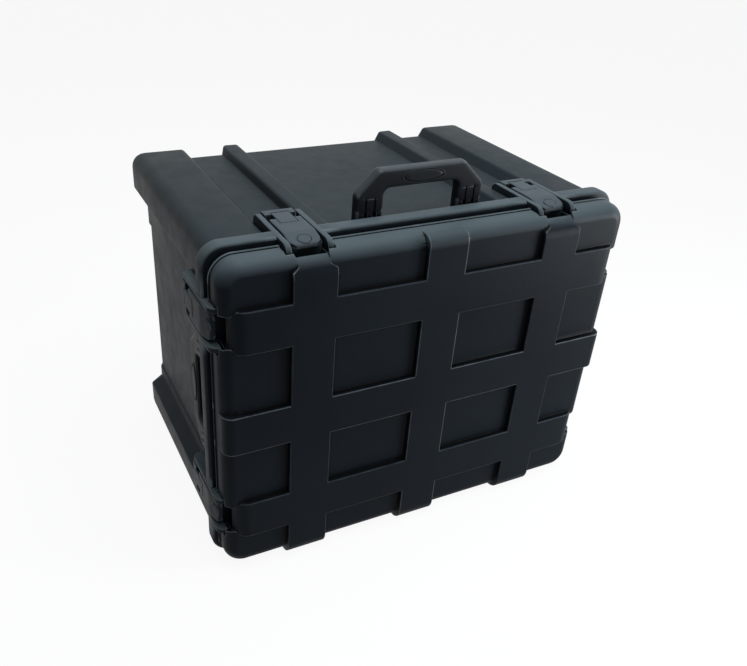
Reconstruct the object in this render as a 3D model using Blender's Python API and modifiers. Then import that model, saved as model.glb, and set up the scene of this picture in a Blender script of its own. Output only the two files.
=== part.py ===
"""Equipment rack case: a moulded shell with a lift-off front lid held by trigger latches,
three folding handles, and a 19-inch rack frame hung on shock mounts inside.

Metres, +Z up. The front faces -Y, and the origin is on the floor under the middle of the case.
A latch or handle is drawn at a station: u runs along the flange, d is the distance back from
the front of the lid, and n is the height above the outer face of the flange."""

import math

import bmesh
import bpy
from mathutils import Matrix, Vector

# Rack standard
RACK_UNITS = 8
RACK_UNIT = 0.04445
RACK_PANEL_WIDTH = 0.4826
RACK_EAR_EDGE = 0.00875
RACK_HOLE_PITCH = 0.015875
RACK_HOLE_SIZE = 0.0095

# Whole case
CASE_DEPTH = 0.444
SIDE_ROOM = 0.0727
HEAD_ROOM = 0.0677
FOOT_DROP = 0.0005
WALL = 0.005
FIT_GAP = 0.0003
OVERLAP = 0.002
ROUND_LIMIT = 0.98
SAME_PLACE = 1e-6
FLAT_ANGLE = 0.01
SHARP_ANGLE = 0.6

# Lid
LID_DEPTH = 0.0405
LID_DROP = 0.0075
LID_WALL = 0.0045
LID_CORNER = 0.030
LID_EDGE_ROUND = 0.018
LID_RIM_WIDTH = 0.0155
BEAD_RAISE = 0.002
BEAD_DEPTH = 0.003
BAND_RAISE = 0.008
BAND_WIDTH = 0.060
BAND_PITCH_X = 0.186
BAND_PITCH_Z = 0.149
BAND_FOOT_DROP = 0.0005
BAND_FADE_DROP = 0.0003
BAND_FADE_ROUND = 0.015
BAND_STOP_DROP = 0.025
BAND_STOP_ROUND = 0.012
THROAT_WIDTH = 0.043
THROAT_DROP_TOP = 0.0137
THROAT_DROP_SIDE = 0.0187
THROAT_ROUND = 0.024

# Flange of the case
SEAL_GAP = 0.0095
FLANGE_FLAT = 0.020
FLANGE_SLOPE = 0.020
FLANGE_CORNER = 0.030
FLANGE_EDGE_ROUND = 0.0045
MOUTH_STEP = 0.001
MOUTH_CORNER = 0.012
GASKET_DROP = 0.0155
GASKET_WIDTH = 0.007

# Shell section, each drop measured in from the outer face of the flange
SHOULDER_DROP_TOP = 0.0085
SHOULDER_DROP_SIDE = 0.011
SHOULDER_WIDTH = 0.081
SHOULDER_RUN = 0.011
SHOULDER_HEIGHT = 0.053
SHOULDER_SLOPE = 0.030
SHOULDER_ROUND = 0.020
RAIL_HEIGHT = 0.058
RAIL_SLOPE = 0.016
RAIL_ROUND = 0.024
FLOOR_DROP = 0.0215
RIB_PLACE = 0.143
RIB_WIDTH = 0.0225
RIB_RUN_INNER = 0.0095
RIB_RUN_OUTER = 0.0035
STRIP_DROP = 0.028
STRIP_UPPER = 0.030
STRIP_LOWER = 0.020
PANEL_DROP = 0.031
PANEL_RUN = 0.005

# Latch, catch and guard walls
LATCH_WIDTH = 0.043
LATCH_SIDE_GAP = 0.002
LATCH_TOP = 0.0015
LATCH_AXIS_D = 0.127
LATCH_AXIS_N = -0.006
LATCH_BARREL = 0.006
LATCH_UNDER = -0.0055
LATCH_BRIDGE = -0.010
LATCH_BRIDGE_RUN = 0.043
LATCH_REAR_ROUND = 0.004
LATCH_HEEL_ROUND = 0.003
LATCH_HEEL_START = 1.2
LATCH_HEEL_END = 0.6
LATCH_BARREL_SOFT = 0.8
NOSE_BEND_D = 0.056
NOSE_BEND_ROUND = 0.030
NOSE_D = 0.029
NOSE_N = -0.0045
NOSE_ROUND = 0.005
HOOK_N = -0.0095
HOOK_THICK = 0.004
HOOK_FACE_D = 0.034
NOTCH_RUN = 0.026
NOTCH_LENGTH = 0.015
PIN_RADIUS = 0.0025
PIN_END_GAP = 0.002
GUARD_WIDTH = 0.0075
GUARD_TOP = 0.0005
GUARD_REAR_GAP = 0.001
GUARD_REAR_ROUND = 0.010
HORN_D = 0.020
HORN_N = -0.0145
HORN_ROUND = 0.014
HORN_TIP_ROUND = 0.003
HORN_RAKE = 0.001
SLOT_GAP = 0.002
CATCH_GAP = 0.0018
CATCH_BITE = 0.0032
WELL_D = 0.018
WELL_FLOOR = -0.026
WELL_SIDE_GAP = 0.001
HORN_CLEARANCE = 0.002

# Trigger
TRIGGER_WIDTH = 0.024
TRIGGER_LENGTH = 0.0355
TRIGGER_TOP = 0.0019
TRIGGER_UNDER = -0.0043
TRIGGER_RUN = 0.009
TRIGGER_AXIS_N = -0.0012
TRIGGER_EDGE_ROUND = 0.001
TRIGGER_GAP = 0.0005
TRUNNION_RADIUS = 0.0016
TRUNNION_LENGTH = 0.0022

# Handles
HANDLE_WIDTH = 0.192
HANDLE_FLAT = 0.130
HANDLE_REACH = 0.065
HANDLE_CHAMFER = 0.031
HANDLE_GRIP = 0.025
HANDLE_FOOT = 0.039
HANDLE_FRONT = 0.011
HANDLE_REAR = 0.006
HANDLE_HEEL = 0.006
HANDLE_HEEL_SOFT = 0.8
HANDLE_OPENING_ROUND = 0.010
HANDLE_CORNER_ROUND = 0.006
HANDLE_EDGE = 0.003
HANDLE_AXIS_D = 0.090
HANDLE_RISE_TOP = 0.0135
HANDLE_RISE_SIDE = 0.009
LUG_WIDTH = 0.005
LUG_RADIUS = 0.006
LUG_GAP = 0.0005
LUG_SLOT = 0.010
POCKET_GAP = 0.0015

# Rack frame
RAIL_FACE = 0.020
RAIL_RETURN = 0.034
RAIL_SHEET = 0.002
RAIL_FRONT_D = 0.096
REAR_ROOM = 0.039
RAIL_END = 0.004
SIDE_BAR_HEIGHT = 0.040
SIDE_BAR_SHEET = 0.003
CROSS_BAR_DEPTH = 0.030
CROSS_BAR_SHEET = 0.003
MOUNT_PLACE_Z = 0.100
MOUNT_INSET = 0.062
MOUNT_RADIUS = 0.016
MOUNT_WAIST = 0.012
MOUNT_FOOT = 0.005
MOUNT_TAPER = 1.6
BOLT_RADIUS = 0.004
BOLT_HEAD_RADIUS = 0.007
BOLT_HEAD = 0.005
BOLT_CROWN_RADIUS = 0.8
BOLT_CROWN_START = 0.7
BOLT_DEPTH = 0.014

# Sizes that follow from the ones above
RACK_HOLE_SPAN = RACK_PANEL_WIDTH - 2 * RACK_EAR_EDGE
FLANGE_X = RACK_PANEL_WIDTH / 2 + SIDE_ROOM
FLANGE_Z = RACK_UNITS * RACK_UNIT / 2 + HEAD_ROOM
MID_Z = FLANGE_Z + FOOT_DROP
FRONT_Y = -CASE_DEPTH / 2
FLANGE_D = LID_DEPTH + SEAL_GAP
FLANGE_REAR_D = FLANGE_D + FLANGE_FLAT + FLANGE_SLOPE
MOUTH_X = FLANGE_X - PANEL_DROP - WALL - MOUTH_STEP
MOUTH_Z = FLANGE_Z - FLOOR_DROP - WALL - MOUTH_STEP
PIN_BORE = PIN_RADIUS + FIT_GAP
GUARD_U = LATCH_WIDTH / 2 + LATCH_SIDE_GAP
GUARD_OUT_U = GUARD_U + GUARD_WIDTH
CATCH_TOP = HOOK_N + CATCH_BITE
CATCH_D = HOOK_FACE_D + CATCH_GAP
WELL_U = LATCH_WIDTH / 2 + WELL_SIDE_GAP
POCKET_U = TRIGGER_WIDTH / 2 + TRIGGER_GAP
HANDLE_OPENING = HANDLE_WIDTH / 2 - HANDLE_FOOT
LUG_PLACES = [sign * (HANDLE_OPENING + HANDLE_FOOT * third / 3) for sign in (-1, 1) for third in (1, 2)]
CUTTER_REACH = 0.120
LATCH_BRIDGE_D = LATCH_AXIS_D - LATCH_BRIDGE_RUN
NOTCH_D = LATCH_AXIS_D - NOTCH_RUN
TRIGGER_AXIS_D = LATCH_AXIS_D - TRIGGER_RUN
GUARD_REAR_D = LATCH_AXIS_D + LATCH_BARREL + GUARD_REAR_GAP
RAIL_REAR_D = CASE_DEPTH - WALL - REAR_ROOM
MOUNT_FRONT_D = RAIL_FRONT_D + MOUNT_INSET
MOUNT_REAR_D = RAIL_REAR_D - MOUNT_INSET
RAIL_OUT_X = RACK_PANEL_WIDTH / 2 + RAIL_END
SIDE_BAR_X = RAIL_OUT_X + FIT_GAP
MOUNT_X = SIDE_BAR_X + SIDE_BAR_SHEET + FIT_GAP
MOUNT_LENGTH = FLANGE_X - PANEL_DROP - WALL - FIT_GAP - MOUNT_X

LATCHES = (
    ("top_left", "top", -BAND_PITCH_X),
    ("top_right", "top", BAND_PITCH_X),
    ("left_upper", "left", BAND_PITCH_Z),
    ("left_lower", "left", -BAND_PITCH_Z),
    ("right_upper", "right", BAND_PITCH_Z),
    ("right_lower", "right", -BAND_PITCH_Z),
)
WALL_DROP = {"top": FLOOR_DROP, "left": PANEL_DROP, "right": PANEL_DROP}
THROAT_DROP = {"top": THROAT_DROP_TOP, "left": THROAT_DROP_SIDE, "right": THROAT_DROP_SIDE}
HANDLE_RISE = {"top": HANDLE_RISE_TOP, "left": HANDLE_RISE_SIDE, "right": HANDLE_RISE_SIDE}

# Where the two axes of a flat outline and its thickness point
PLANES = {
    "XZ": Matrix(((1, 0, 0, 0), (0, 0, -1, 0), (0, 1, 0, 0), (0, 0, 0, 1))),
    "YZ": Matrix(((0, 0, 1, 0), (1, 0, 0, 0), (0, 1, 0, 0), (0, 0, 0, 1))),
    "XY": Matrix.Identity(4),
}
NORMALS = {"XZ": Vector((0, 1, 0)), "YZ": Vector((1, 0, 0)), "XY": Vector((0, 0, 1))}


def station(side, along):
    """The frame of a latch or handle on one side of the flange."""
    if side == "top":
        return Matrix.Translation((along, FRONT_Y, MID_Z + FLANGE_Z))
    sign = -1 if side == "left" else 1
    turn = Matrix.Rotation(sign * math.pi / 2, 4, "Y")
    return Matrix.Translation((sign * FLANGE_X, FRONT_Y, MID_Z + along)) @ turn


def fillet(corners, steps=4):
    """An outline whose corners (a, b, radius) are rounded, as far as their edges have room."""
    places = [Vector(corner[:2]) for corner in corners]
    turns = []
    for index, here in enumerate(places):
        back = (places[index - 1] - here).normalized()
        ahead = (places[(index + 1) % len(places)] - here).normalized()
        half = back.angle(ahead) / 2
        turns.append((back, ahead, half, corners[index][2] / math.tan(half)))
    points = []
    for index, here in enumerate(places):
        back, ahead, half, reach = turns[index]
        if reach <= 0:
            points.append(here)
            continue
        for other in (index - 1, (index + 1) % len(places)):
            taken = turns[index][3] + turns[other][3]
            reach = min(reach, turns[index][3] * ROUND_LIMIT * (places[other] - here).length / taken)
        radius = reach * math.tan(half)
        centre = here + (back + ahead).normalized() * (radius / math.sin(half))
        start = here + back * reach - centre
        end = here + ahead * reach - centre
        first = math.atan2(start.y, start.x)
        sweep = (math.atan2(end.y, end.x) - first + math.pi) % (2 * math.pi) - math.pi
        for step in range(steps + 1):
            angle = first + sweep * step / steps
            points.append(centre + Vector((math.cos(angle), math.sin(angle))) * radius)
    return points


def inset(corners, depth):
    """The same corners moved inward, for an outline that runs anticlockwise."""
    moved = []
    for index, (a, b, radius) in enumerate(corners):
        here = Vector((a, b))
        before = (here - Vector(corners[index - 1][:2])).normalized()
        after = (Vector(corners[(index + 1) % len(corners)][:2]) - here).normalized()
        left = Vector((-before.y, before.x))
        right = Vector((-after.y, after.x))
        point = here + (left + right) * (depth / (1 + left.dot(right)))
        bulge = depth if before.cross(after) > 0 else -depth
        moved.append((point.x, point.y, max(radius - bulge, 0) if radius > 0 else 0))
    return moved


def rectangle(half_a, half_b, radius, mid_b=0.0):
    """Corners of a rounded rectangle."""
    return [
        (-half_a, mid_b - half_b, radius),
        (half_a, mid_b - half_b, radius),
        (half_a, mid_b + half_b, radius),
        (-half_a, mid_b + half_b, radius),
    ]


def evaluated(obj):
    """A copy of an object's mesh with its modifiers applied."""
    bpy.context.view_layer.update()
    graph = bpy.context.evaluated_depsgraph_get()
    return bpy.data.meshes.new_from_object(obj.evaluated_get(graph))


def slab(loops, plane, low, high):
    """A solid of one thickness from flat outlines; loops after the first are holes."""
    curve = bpy.data.curves.new("outline", "CURVE")
    curve.dimensions = "2D"
    curve.fill_mode = "BOTH"
    curve.extrude = (high - low) / 2
    for loop in loops:
        spline = curve.splines.new("POLY")
        spline.points.add(len(loop) - 1)
        for point, place in zip(spline.points, loop):
            point.co = (place[0], place[1], 0, 1)
        spline.use_cyclic_u = True
    obj = bpy.data.objects.new("outline", curve)
    bpy.context.scene.collection.objects.link(obj)
    mesh = evaluated(obj)
    bpy.data.objects.remove(obj)
    bpy.data.curves.remove(curve)
    bm = bmesh.new()
    bm.from_mesh(mesh)
    bmesh.ops.remove_doubles(bm, verts=bm.verts, dist=SAME_PLACE)
    bmesh.ops.dissolve_limit(bm, angle_limit=FLAT_ANGLE, verts=bm.verts, edges=bm.edges)
    bmesh.ops.recalc_face_normals(bm, faces=bm.faces)
    bm.to_mesh(mesh)
    bm.free()
    mesh.transform(Matrix.Translation(NORMALS[plane] * (low + high) / 2) @ PLANES[plane])
    return mesh


def box(low, high):
    """A plain block between two corners."""
    size = Vector(high) - Vector(low)
    middle = (Vector(high) + Vector(low)) / 2
    bm = bmesh.new()
    bmesh.ops.create_cube(bm, matrix=Matrix.Translation(middle) @ Matrix.Diagonal((*size, 1)))
    mesh = bpy.data.meshes.new("block")
    bm.to_mesh(mesh)
    bm.free()
    return mesh


def rod(radius, low, high, centre=(0.0, 0.0), sides=16):
    """A round bar along X through a point of the YZ plane."""
    turn = Matrix.Translation(((low + high) / 2, *centre)) @ Matrix.Rotation(math.pi / 2, 4, "Y")
    bm = bmesh.new()
    bmesh.ops.create_cone(
        bm, cap_ends=True, segments=sides, radius1=radius, radius2=radius, depth=high - low, matrix=turn
    )
    mesh = bpy.data.meshes.new("rod")
    bm.to_mesh(mesh)
    bm.free()
    return mesh


def turned(profile, steps=12):
    """A solid of revolution about X from (x, radius) points that start and end on the axis."""
    mesh = bpy.data.meshes.new("turned")
    points = [(x, radius, 0) for x, radius in profile]
    mesh.from_pydata(points, [(i, i + 1) for i in range(len(points) - 1)], [])
    obj = bpy.data.objects.new("turned", mesh)
    bpy.context.scene.collection.objects.link(obj)
    screw = obj.modifiers.new("Screw", "SCREW")
    screw.axis = "X"
    screw.steps = steps
    screw.render_steps = steps
    screw.use_merge_vertices = True
    screw.merge_threshold = SAME_PLACE
    solid = evaluated(obj)
    bpy.data.objects.remove(obj)
    bm = bmesh.new()
    bm.from_mesh(solid)
    bmesh.ops.remove_doubles(bm, verts=bm.verts, dist=SAME_PLACE)
    bmesh.ops.recalc_face_normals(bm, faces=bm.faces)
    bm.to_mesh(solid)
    bm.free()
    return solid


def bevel_level(mesh, axis, level, width, segments):
    """Round the edges that lie at one level of one axis."""
    bm = bmesh.new()
    bm.from_mesh(mesh)
    edges = [e for e in bm.edges if all(abs(v.co[axis] - level) < SAME_PLACE for v in e.verts)]
    bmesh.ops.bevel(
        bm, geom=edges, offset=width, offset_type="OFFSET", segments=segments, profile=0.5, affect="EDGES"
    )
    bm.to_mesh(mesh)
    bm.free()
    return mesh


def carve(base, joins=(), cuts=()):
    """The base mesh with other meshes joined to it and then cut out of it."""
    obj = bpy.data.objects.new("carve", base)
    bpy.context.scene.collection.objects.link(obj)
    tools = []
    groups = []
    for operation, meshes in (("UNION", joins), ("DIFFERENCE", cuts)):
        if not meshes:
            continue
        group = bpy.data.collections.new(operation)
        bpy.context.scene.collection.children.link(group)
        groups.append(group)
        for mesh, matrix in meshes:
            tool = bpy.data.objects.new("tool", mesh)
            tool.matrix_world = matrix
            group.objects.link(tool)
            tools.append(tool)
        modifier = obj.modifiers.new(operation, "BOOLEAN")
        modifier.operation = operation
        modifier.operand_type = "COLLECTION"
        modifier.collection = group
        modifier.solver = "EXACT"
    mesh = evaluated(obj)
    for tool in (obj, *tools):
        bpy.data.objects.remove(tool)
    for group in groups:
        bpy.data.collections.remove(group)
    return mesh


def plain(meshes):
    """Meshes that need no placing, paired with the identity."""
    return [(mesh, Matrix.Identity(4)) for mesh in meshes]


def section():
    """Corners of the shell's cross section, anticlockwise from the middle of the bottom."""
    side = FLANGE_X - SHOULDER_DROP_SIDE
    strip = FLANGE_X - STRIP_DROP
    panel = FLANGE_X - PANEL_DROP
    top = FLANGE_Z - SHOULDER_DROP_TOP
    floor = FLANGE_Z - FLOOR_DROP
    foot = FLANGE_Z + FOOT_DROP
    rib_low = RIB_PLACE - RIB_WIDTH / 2
    rib_high = RIB_PLACE + RIB_WIDTH / 2
    inner = side - SHOULDER_WIDTH
    strip_top = top - SHOULDER_HEIGHT - SHOULDER_SLOPE
    strip_low = -foot + RAIL_HEIGHT + RAIL_SLOPE
    ribs = [
        (rib_low - RIB_RUN_INNER, floor, 0),
        (rib_low, top, 0),
        (rib_high, top, 0),
        (rib_high + RIB_RUN_OUTER, floor, 0),
        (inner - SHOULDER_RUN, floor, 0),
    ]
    right = [(x, -z, 0) for x, z, _ in ribs]
    right += [
        (inner, -foot, 0),
        (side, -foot, RAIL_ROUND),
        (side, -foot + RAIL_HEIGHT, 0),
        (strip, strip_low, 0),
        (strip, strip_low + STRIP_LOWER, 0),
        (panel, strip_low + STRIP_LOWER + PANEL_RUN, 0),
        (panel, strip_top - STRIP_UPPER - PANEL_RUN, 0),
        (strip, strip_top - STRIP_UPPER, 0),
        (strip, strip_top, 0),
        (side, top - SHOULDER_HEIGHT, 0),
        (side, top, SHOULDER_ROUND),
        (inner, top, 0),
    ]
    right += list(reversed(ribs))
    left = [(-x, z, radius) for x, z, radius in reversed(right)]
    return [(x, z + MID_Z, radius) for x, z, radius in right + left]


def guard(side, sign):
    """One of the two walls beside a latch, with a horn that reaches over the lid."""
    root = -WALL_DROP[side] - OVERLAP
    corners = [
        (HORN_D, HORN_N, HORN_TIP_ROUND),
        (FLANGE_D + FLANGE_EDGE_ROUND, HORN_N, 0),
        (FLANGE_D + FLANGE_EDGE_ROUND, root, 0),
        (GUARD_REAR_D, root, 0),
        (GUARD_REAR_D, GUARD_TOP, GUARD_REAR_ROUND),
        (HORN_D + HORN_RAKE, GUARD_TOP, HORN_ROUND),
    ]
    low, high = sorted((sign * (GUARD_U - OVERLAP / 4), sign * GUARD_OUT_U))
    return slab([fillet(corners)], "YZ", low, high)


def handle_axis(side):
    """Height of a handle's hinge axis at its station."""
    return HANDLE_RISE[side] - WALL_DROP[side]


def lugs(side):
    """The four hinge lugs of one handle, two in the slots of each foot."""
    axis = handle_axis(side)
    root = -WALL_DROP[side] - OVERLAP
    corners = [
        (HANDLE_AXIS_D - LUG_RADIUS, root, 0),
        (HANDLE_AXIS_D + LUG_RADIUS, root, 0),
        (HANDLE_AXIS_D + LUG_RADIUS, axis + LUG_RADIUS, LUG_RADIUS * ROUND_LIMIT),
        (HANDLE_AXIS_D - LUG_RADIUS, axis + LUG_RADIUS, LUG_RADIUS * ROUND_LIMIT),
    ]
    half = LUG_WIDTH / 2
    return [slab([fillet(corners)], "YZ", place - half, place + half) for place in LUG_PLACES]


def make_case_body():
    """The shell with its flange, guard walls and hinge lugs, hollow and open at the front."""
    corners = section()
    shell = slab([fillet(corners)], "XZ", FRONT_Y + FLANGE_D + FLANGE_FLAT / 2, FRONT_Y + CASE_DEPTH)
    flange = slab(
        [fillet(rectangle(FLANGE_X, FLANGE_Z, FLANGE_CORNER, MID_Z), 6)],
        "XZ",
        FRONT_Y + FLANGE_D,
        FRONT_Y + FLANGE_REAR_D,
    )
    bevel_level(flange, 1, FRONT_Y + FLANGE_REAR_D, FLANGE_SLOPE, 1)
    bevel_level(flange, 1, FRONT_Y + FLANGE_D, FLANGE_EDGE_ROUND, 2)
    cavity = slab(
        [fillet(inset(corners, WALL))],
        "XZ",
        FRONT_Y + FLANGE_REAR_D - WALL,
        FRONT_Y + CASE_DEPTH - WALL,
    )
    mouth = slab(
        [fillet(rectangle(MOUTH_X, MOUTH_Z, MOUTH_CORNER, MID_Z))],
        "XZ",
        FRONT_Y + LID_DEPTH,
        FRONT_Y + FLANGE_REAR_D,
    )
    frames = [station(side, along) for _, side, along in LATCHES]
    guards = []
    for (_, side, _), frame in zip(LATCHES, frames):
        guards += [(guard(side, sign), frame) for sign in (-1, 1)]
    lug_tools = []
    pockets = []
    bores = []
    for side in ("top", "left", "right"):
        frame = station(side, 0.0)
        axis = handle_axis(side)
        lug_tools += [(lug, frame) for lug in lugs(side)]
        swing = HANDLE_AXIS_D - HANDLE_FRONT - POCKET_GAP - OVERLAP
        floor = FIT_GAP - WALL_DROP[side]
        for sign in (-1, 1):
            inner = sign * (HANDLE_OPENING - POCKET_GAP)
            outer = sign * (HANDLE_WIDTH / 2 + POCKET_GAP)
            low, high = sorted((inner, outer))
            pocket = box((low, swing, floor), (high, FLANGE_REAR_D + OVERLAP, CUTTER_REACH))
            pockets.append((pocket, frame))
            bores.append((rod(PIN_BORE, low, high, (HANDLE_AXIS_D, axis)), frame))
    slot_floor = LATCH_UNDER - SLOT_GAP
    slot = box((-GUARD_U, LID_DEPTH - WALL, slot_floor), (GUARD_U, GUARD_REAR_D, CUTTER_REACH))
    deep_floor = LATCH_AXIS_N - LATCH_BARREL - SLOT_GAP
    deep_start = LATCH_BRIDGE_D - SLOT_GAP
    deep_slot = box((-GUARD_U, deep_start, deep_floor), (GUARD_U, GUARD_REAR_D, CUTTER_REACH))
    hole = GUARD_OUT_U - PIN_END_GAP + FIT_GAP
    latch_bore = rod(PIN_BORE, -hole, hole, (LATCH_AXIS_D, LATCH_AXIS_N))
    outer = carve(shell, joins=plain([flange]), cuts=pockets)
    cuts = plain([cavity, mouth]) + bores
    cuts += [(tool, frame) for frame in frames for tool in (slot, deep_slot, latch_bore)]
    return carve(outer, joins=guards + lug_tools, cuts=cuts)


def throat(side):
    """The rounded end of a raised band where it runs down into a latch well."""
    top = -THROAT_DROP[side]
    low = top - THROAT_ROUND - OVERLAP
    back = THROAT_ROUND + OVERLAP
    corners = [(0, low, 0), (back, low, 0), (back, top, 0), (0, top, THROAT_ROUND)]
    return slab([fillet(corners, 6)], "YZ", -THROAT_WIDTH / 2, THROAT_WIDTH / 2)


def make_lid():
    """The front lid: a tray with raised bands, and a well and catch for each latch."""
    lid_x = FLANGE_X - LID_DROP
    lid_z = FLANGE_Z - LID_DROP
    rim_y = FRONT_Y + LID_DEPTH
    field_y = FRONT_Y + BAND_RAISE
    tray = rectangle(lid_x, lid_z, LID_CORNER, MID_Z)
    field = slab([fillet(tray, 6)], "XZ", field_y, rim_y)
    bevel_level(field, 1, field_y, LID_EDGE_ROUND, 4)
    bead_loop = rectangle(lid_x + BEAD_RAISE, lid_z + BEAD_RAISE, LID_CORNER + BEAD_RAISE, MID_Z)
    bead = slab([fillet(bead_loop, 6)], "XZ", rim_y - BEAD_DEPTH, rim_y)
    rimmed = carve(field, joins=plain([bead]))
    half = BAND_WIDTH / 2
    foot_z = FLANGE_Z - BAND_FOOT_DROP
    fade_x = lid_x - BAND_FADE_DROP
    fade_z = lid_z - BAND_FADE_DROP
    stop_x = FLANGE_X - BAND_STOP_DROP
    stop_z = FLANGE_Z - BAND_STOP_DROP
    inside_y = field_y + BAND_RAISE
    rim_end = rim_y - BEAD_DEPTH / 2
    low_corner = [
        (rim_end, MID_Z - foot_z, 0),
        (rim_end, MID_Z - foot_z + LID_EDGE_ROUND, 0),
        (inside_y, MID_Z - foot_z + LID_EDGE_ROUND, 0),
    ]
    outer_band = [(FRONT_Y, MID_Z - foot_z, LID_EDGE_ROUND), *low_corner]
    outer_band += [(inside_y, MID_Z + stop_z, 0), (FRONT_Y, MID_Z + stop_z, BAND_STOP_ROUND)]
    middle_band = [
        (FRONT_Y, MID_Z - foot_z, LID_EDGE_ROUND),
        (rim_end, MID_Z - foot_z, 0),
        (rim_end, MID_Z + fade_z, 0),
        (FRONT_Y, MID_Z + fade_z, BAND_FADE_ROUND),
    ]
    level_band = [
        (-fade_x, FRONT_Y, BAND_FADE_ROUND),
        (fade_x, FRONT_Y, BAND_FADE_ROUND),
        (fade_x, rim_end, 0),
        (-fade_x, rim_end, 0),
    ]
    short_band = [
        (-stop_x, FRONT_Y, BAND_STOP_ROUND),
        (stop_x, FRONT_Y, BAND_STOP_ROUND),
        (stop_x, inside_y, 0),
        (-stop_x, inside_y, 0),
    ]
    bands = [slab([fillet(middle_band)], "YZ", -half, half)]
    bands.append(slab([fillet(level_band)], "XY", MID_Z - half, MID_Z + half))
    for sign in (-1, 1):
        x = sign * BAND_PITCH_X
        z = MID_Z + sign * BAND_PITCH_Z
        bands.append(slab([fillet(outer_band)], "YZ", x - half, x + half))
        bands.append(slab([fillet(short_band)], "XY", z - half, z + half))
    frames = [station(side, along) for _, side, along in LATCHES]
    throats = [(throat(side), frame) for (_, side, _), frame in zip(LATCHES, frames)]
    solid = carve(rimmed, joins=plain(bands) + throats)
    # Wells, horn notches and the top of the catch
    above = CUTTER_REACH
    beyond = LID_DEPTH + OVERLAP
    horn_u = GUARD_OUT_U + HORN_CLEARANCE
    horn_d = HORN_D - HORN_CLEARANCE
    horn_n = HORN_N - HORN_CLEARANCE
    catch_u = WELL_U - OVERLAP / 4
    well = box((-WELL_U, WELL_D, WELL_FLOOR), (WELL_U, CATCH_D, above))
    trim = box((-WELL_U, CATCH_D - OVERLAP, CATCH_TOP), (WELL_U, beyond, above))
    notches = [
        box((-horn_u, horn_d, horn_n), (-catch_u, beyond, above)),
        box((catch_u, horn_d, horn_n), (horn_u, beyond, above)),
    ]
    # Hollow of the tray, kept clear of the wells and notches
    hollow_y = field_y + LID_WALL
    hollow = slab([fillet(inset(tray, LID_WALL), 6)], "XZ", hollow_y, rim_y - LID_WALL)
    bevel_level(hollow, 1, hollow_y, LID_EDGE_ROUND - LID_WALL, 4)
    mouth_loop = inset(tray, LID_RIM_WIDTH)
    mouth = slab([fillet(mouth_loop, 6)], "XZ", rim_y - LID_WALL - OVERLAP, rim_y + OVERLAP)
    groove = half - LID_WALL
    grooves = []
    for place in (-1, 0, 1):
        x = place * BAND_PITCH_X
        z = MID_Z + place * BAND_PITCH_Z
        reach_x = stop_x - LID_EDGE_ROUND
        reach_z = stop_z - LID_EDGE_ROUND
        low_y = FRONT_Y + LID_WALL
        high_y = hollow_y + OVERLAP
        grooves.append(box((x - groove, low_y, MID_Z - reach_z), (x + groove, high_y, MID_Z + reach_z)))
        grooves.append(box((-reach_x, low_y, z - groove), (reach_x, high_y, z + groove)))
    keep_notch = box(
        (-horn_u - LID_WALL, horn_d - LID_WALL, horn_n - LID_WALL), (horn_u + LID_WALL, FLANGE_D, above)
    )
    keep_well = box(
        (-WELL_U - LID_WALL, WELL_D - LID_WALL, WELL_FLOOR - LID_WALL), (WELL_U + LID_WALL, FLANGE_D, above)
    )
    keeps = [(tool, frame) for frame in frames for tool in (keep_notch, keep_well)]
    inside = carve(hollow, joins=plain([mouth, *grooves]), cuts=keeps)
    cuts = [(tool, frame) for frame in frames for tool in (well, trim, *notches)]
    return carve(solid, cuts=plain([inside]) + cuts)


def make_gasket():
    """The seal ring in front of the flange."""
    outer = rectangle(FLANGE_X - GASKET_DROP, FLANGE_Z - GASKET_DROP, FLANGE_CORNER - GASKET_DROP, MID_Z)
    inner = inset(outer, GASKET_WIDTH)
    low = FRONT_Y + LID_DEPTH + FIT_GAP
    high = FRONT_Y + FLANGE_D - FIT_GAP
    return slab([fillet(outer), fillet(inner)], "XZ", low, high)


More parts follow.
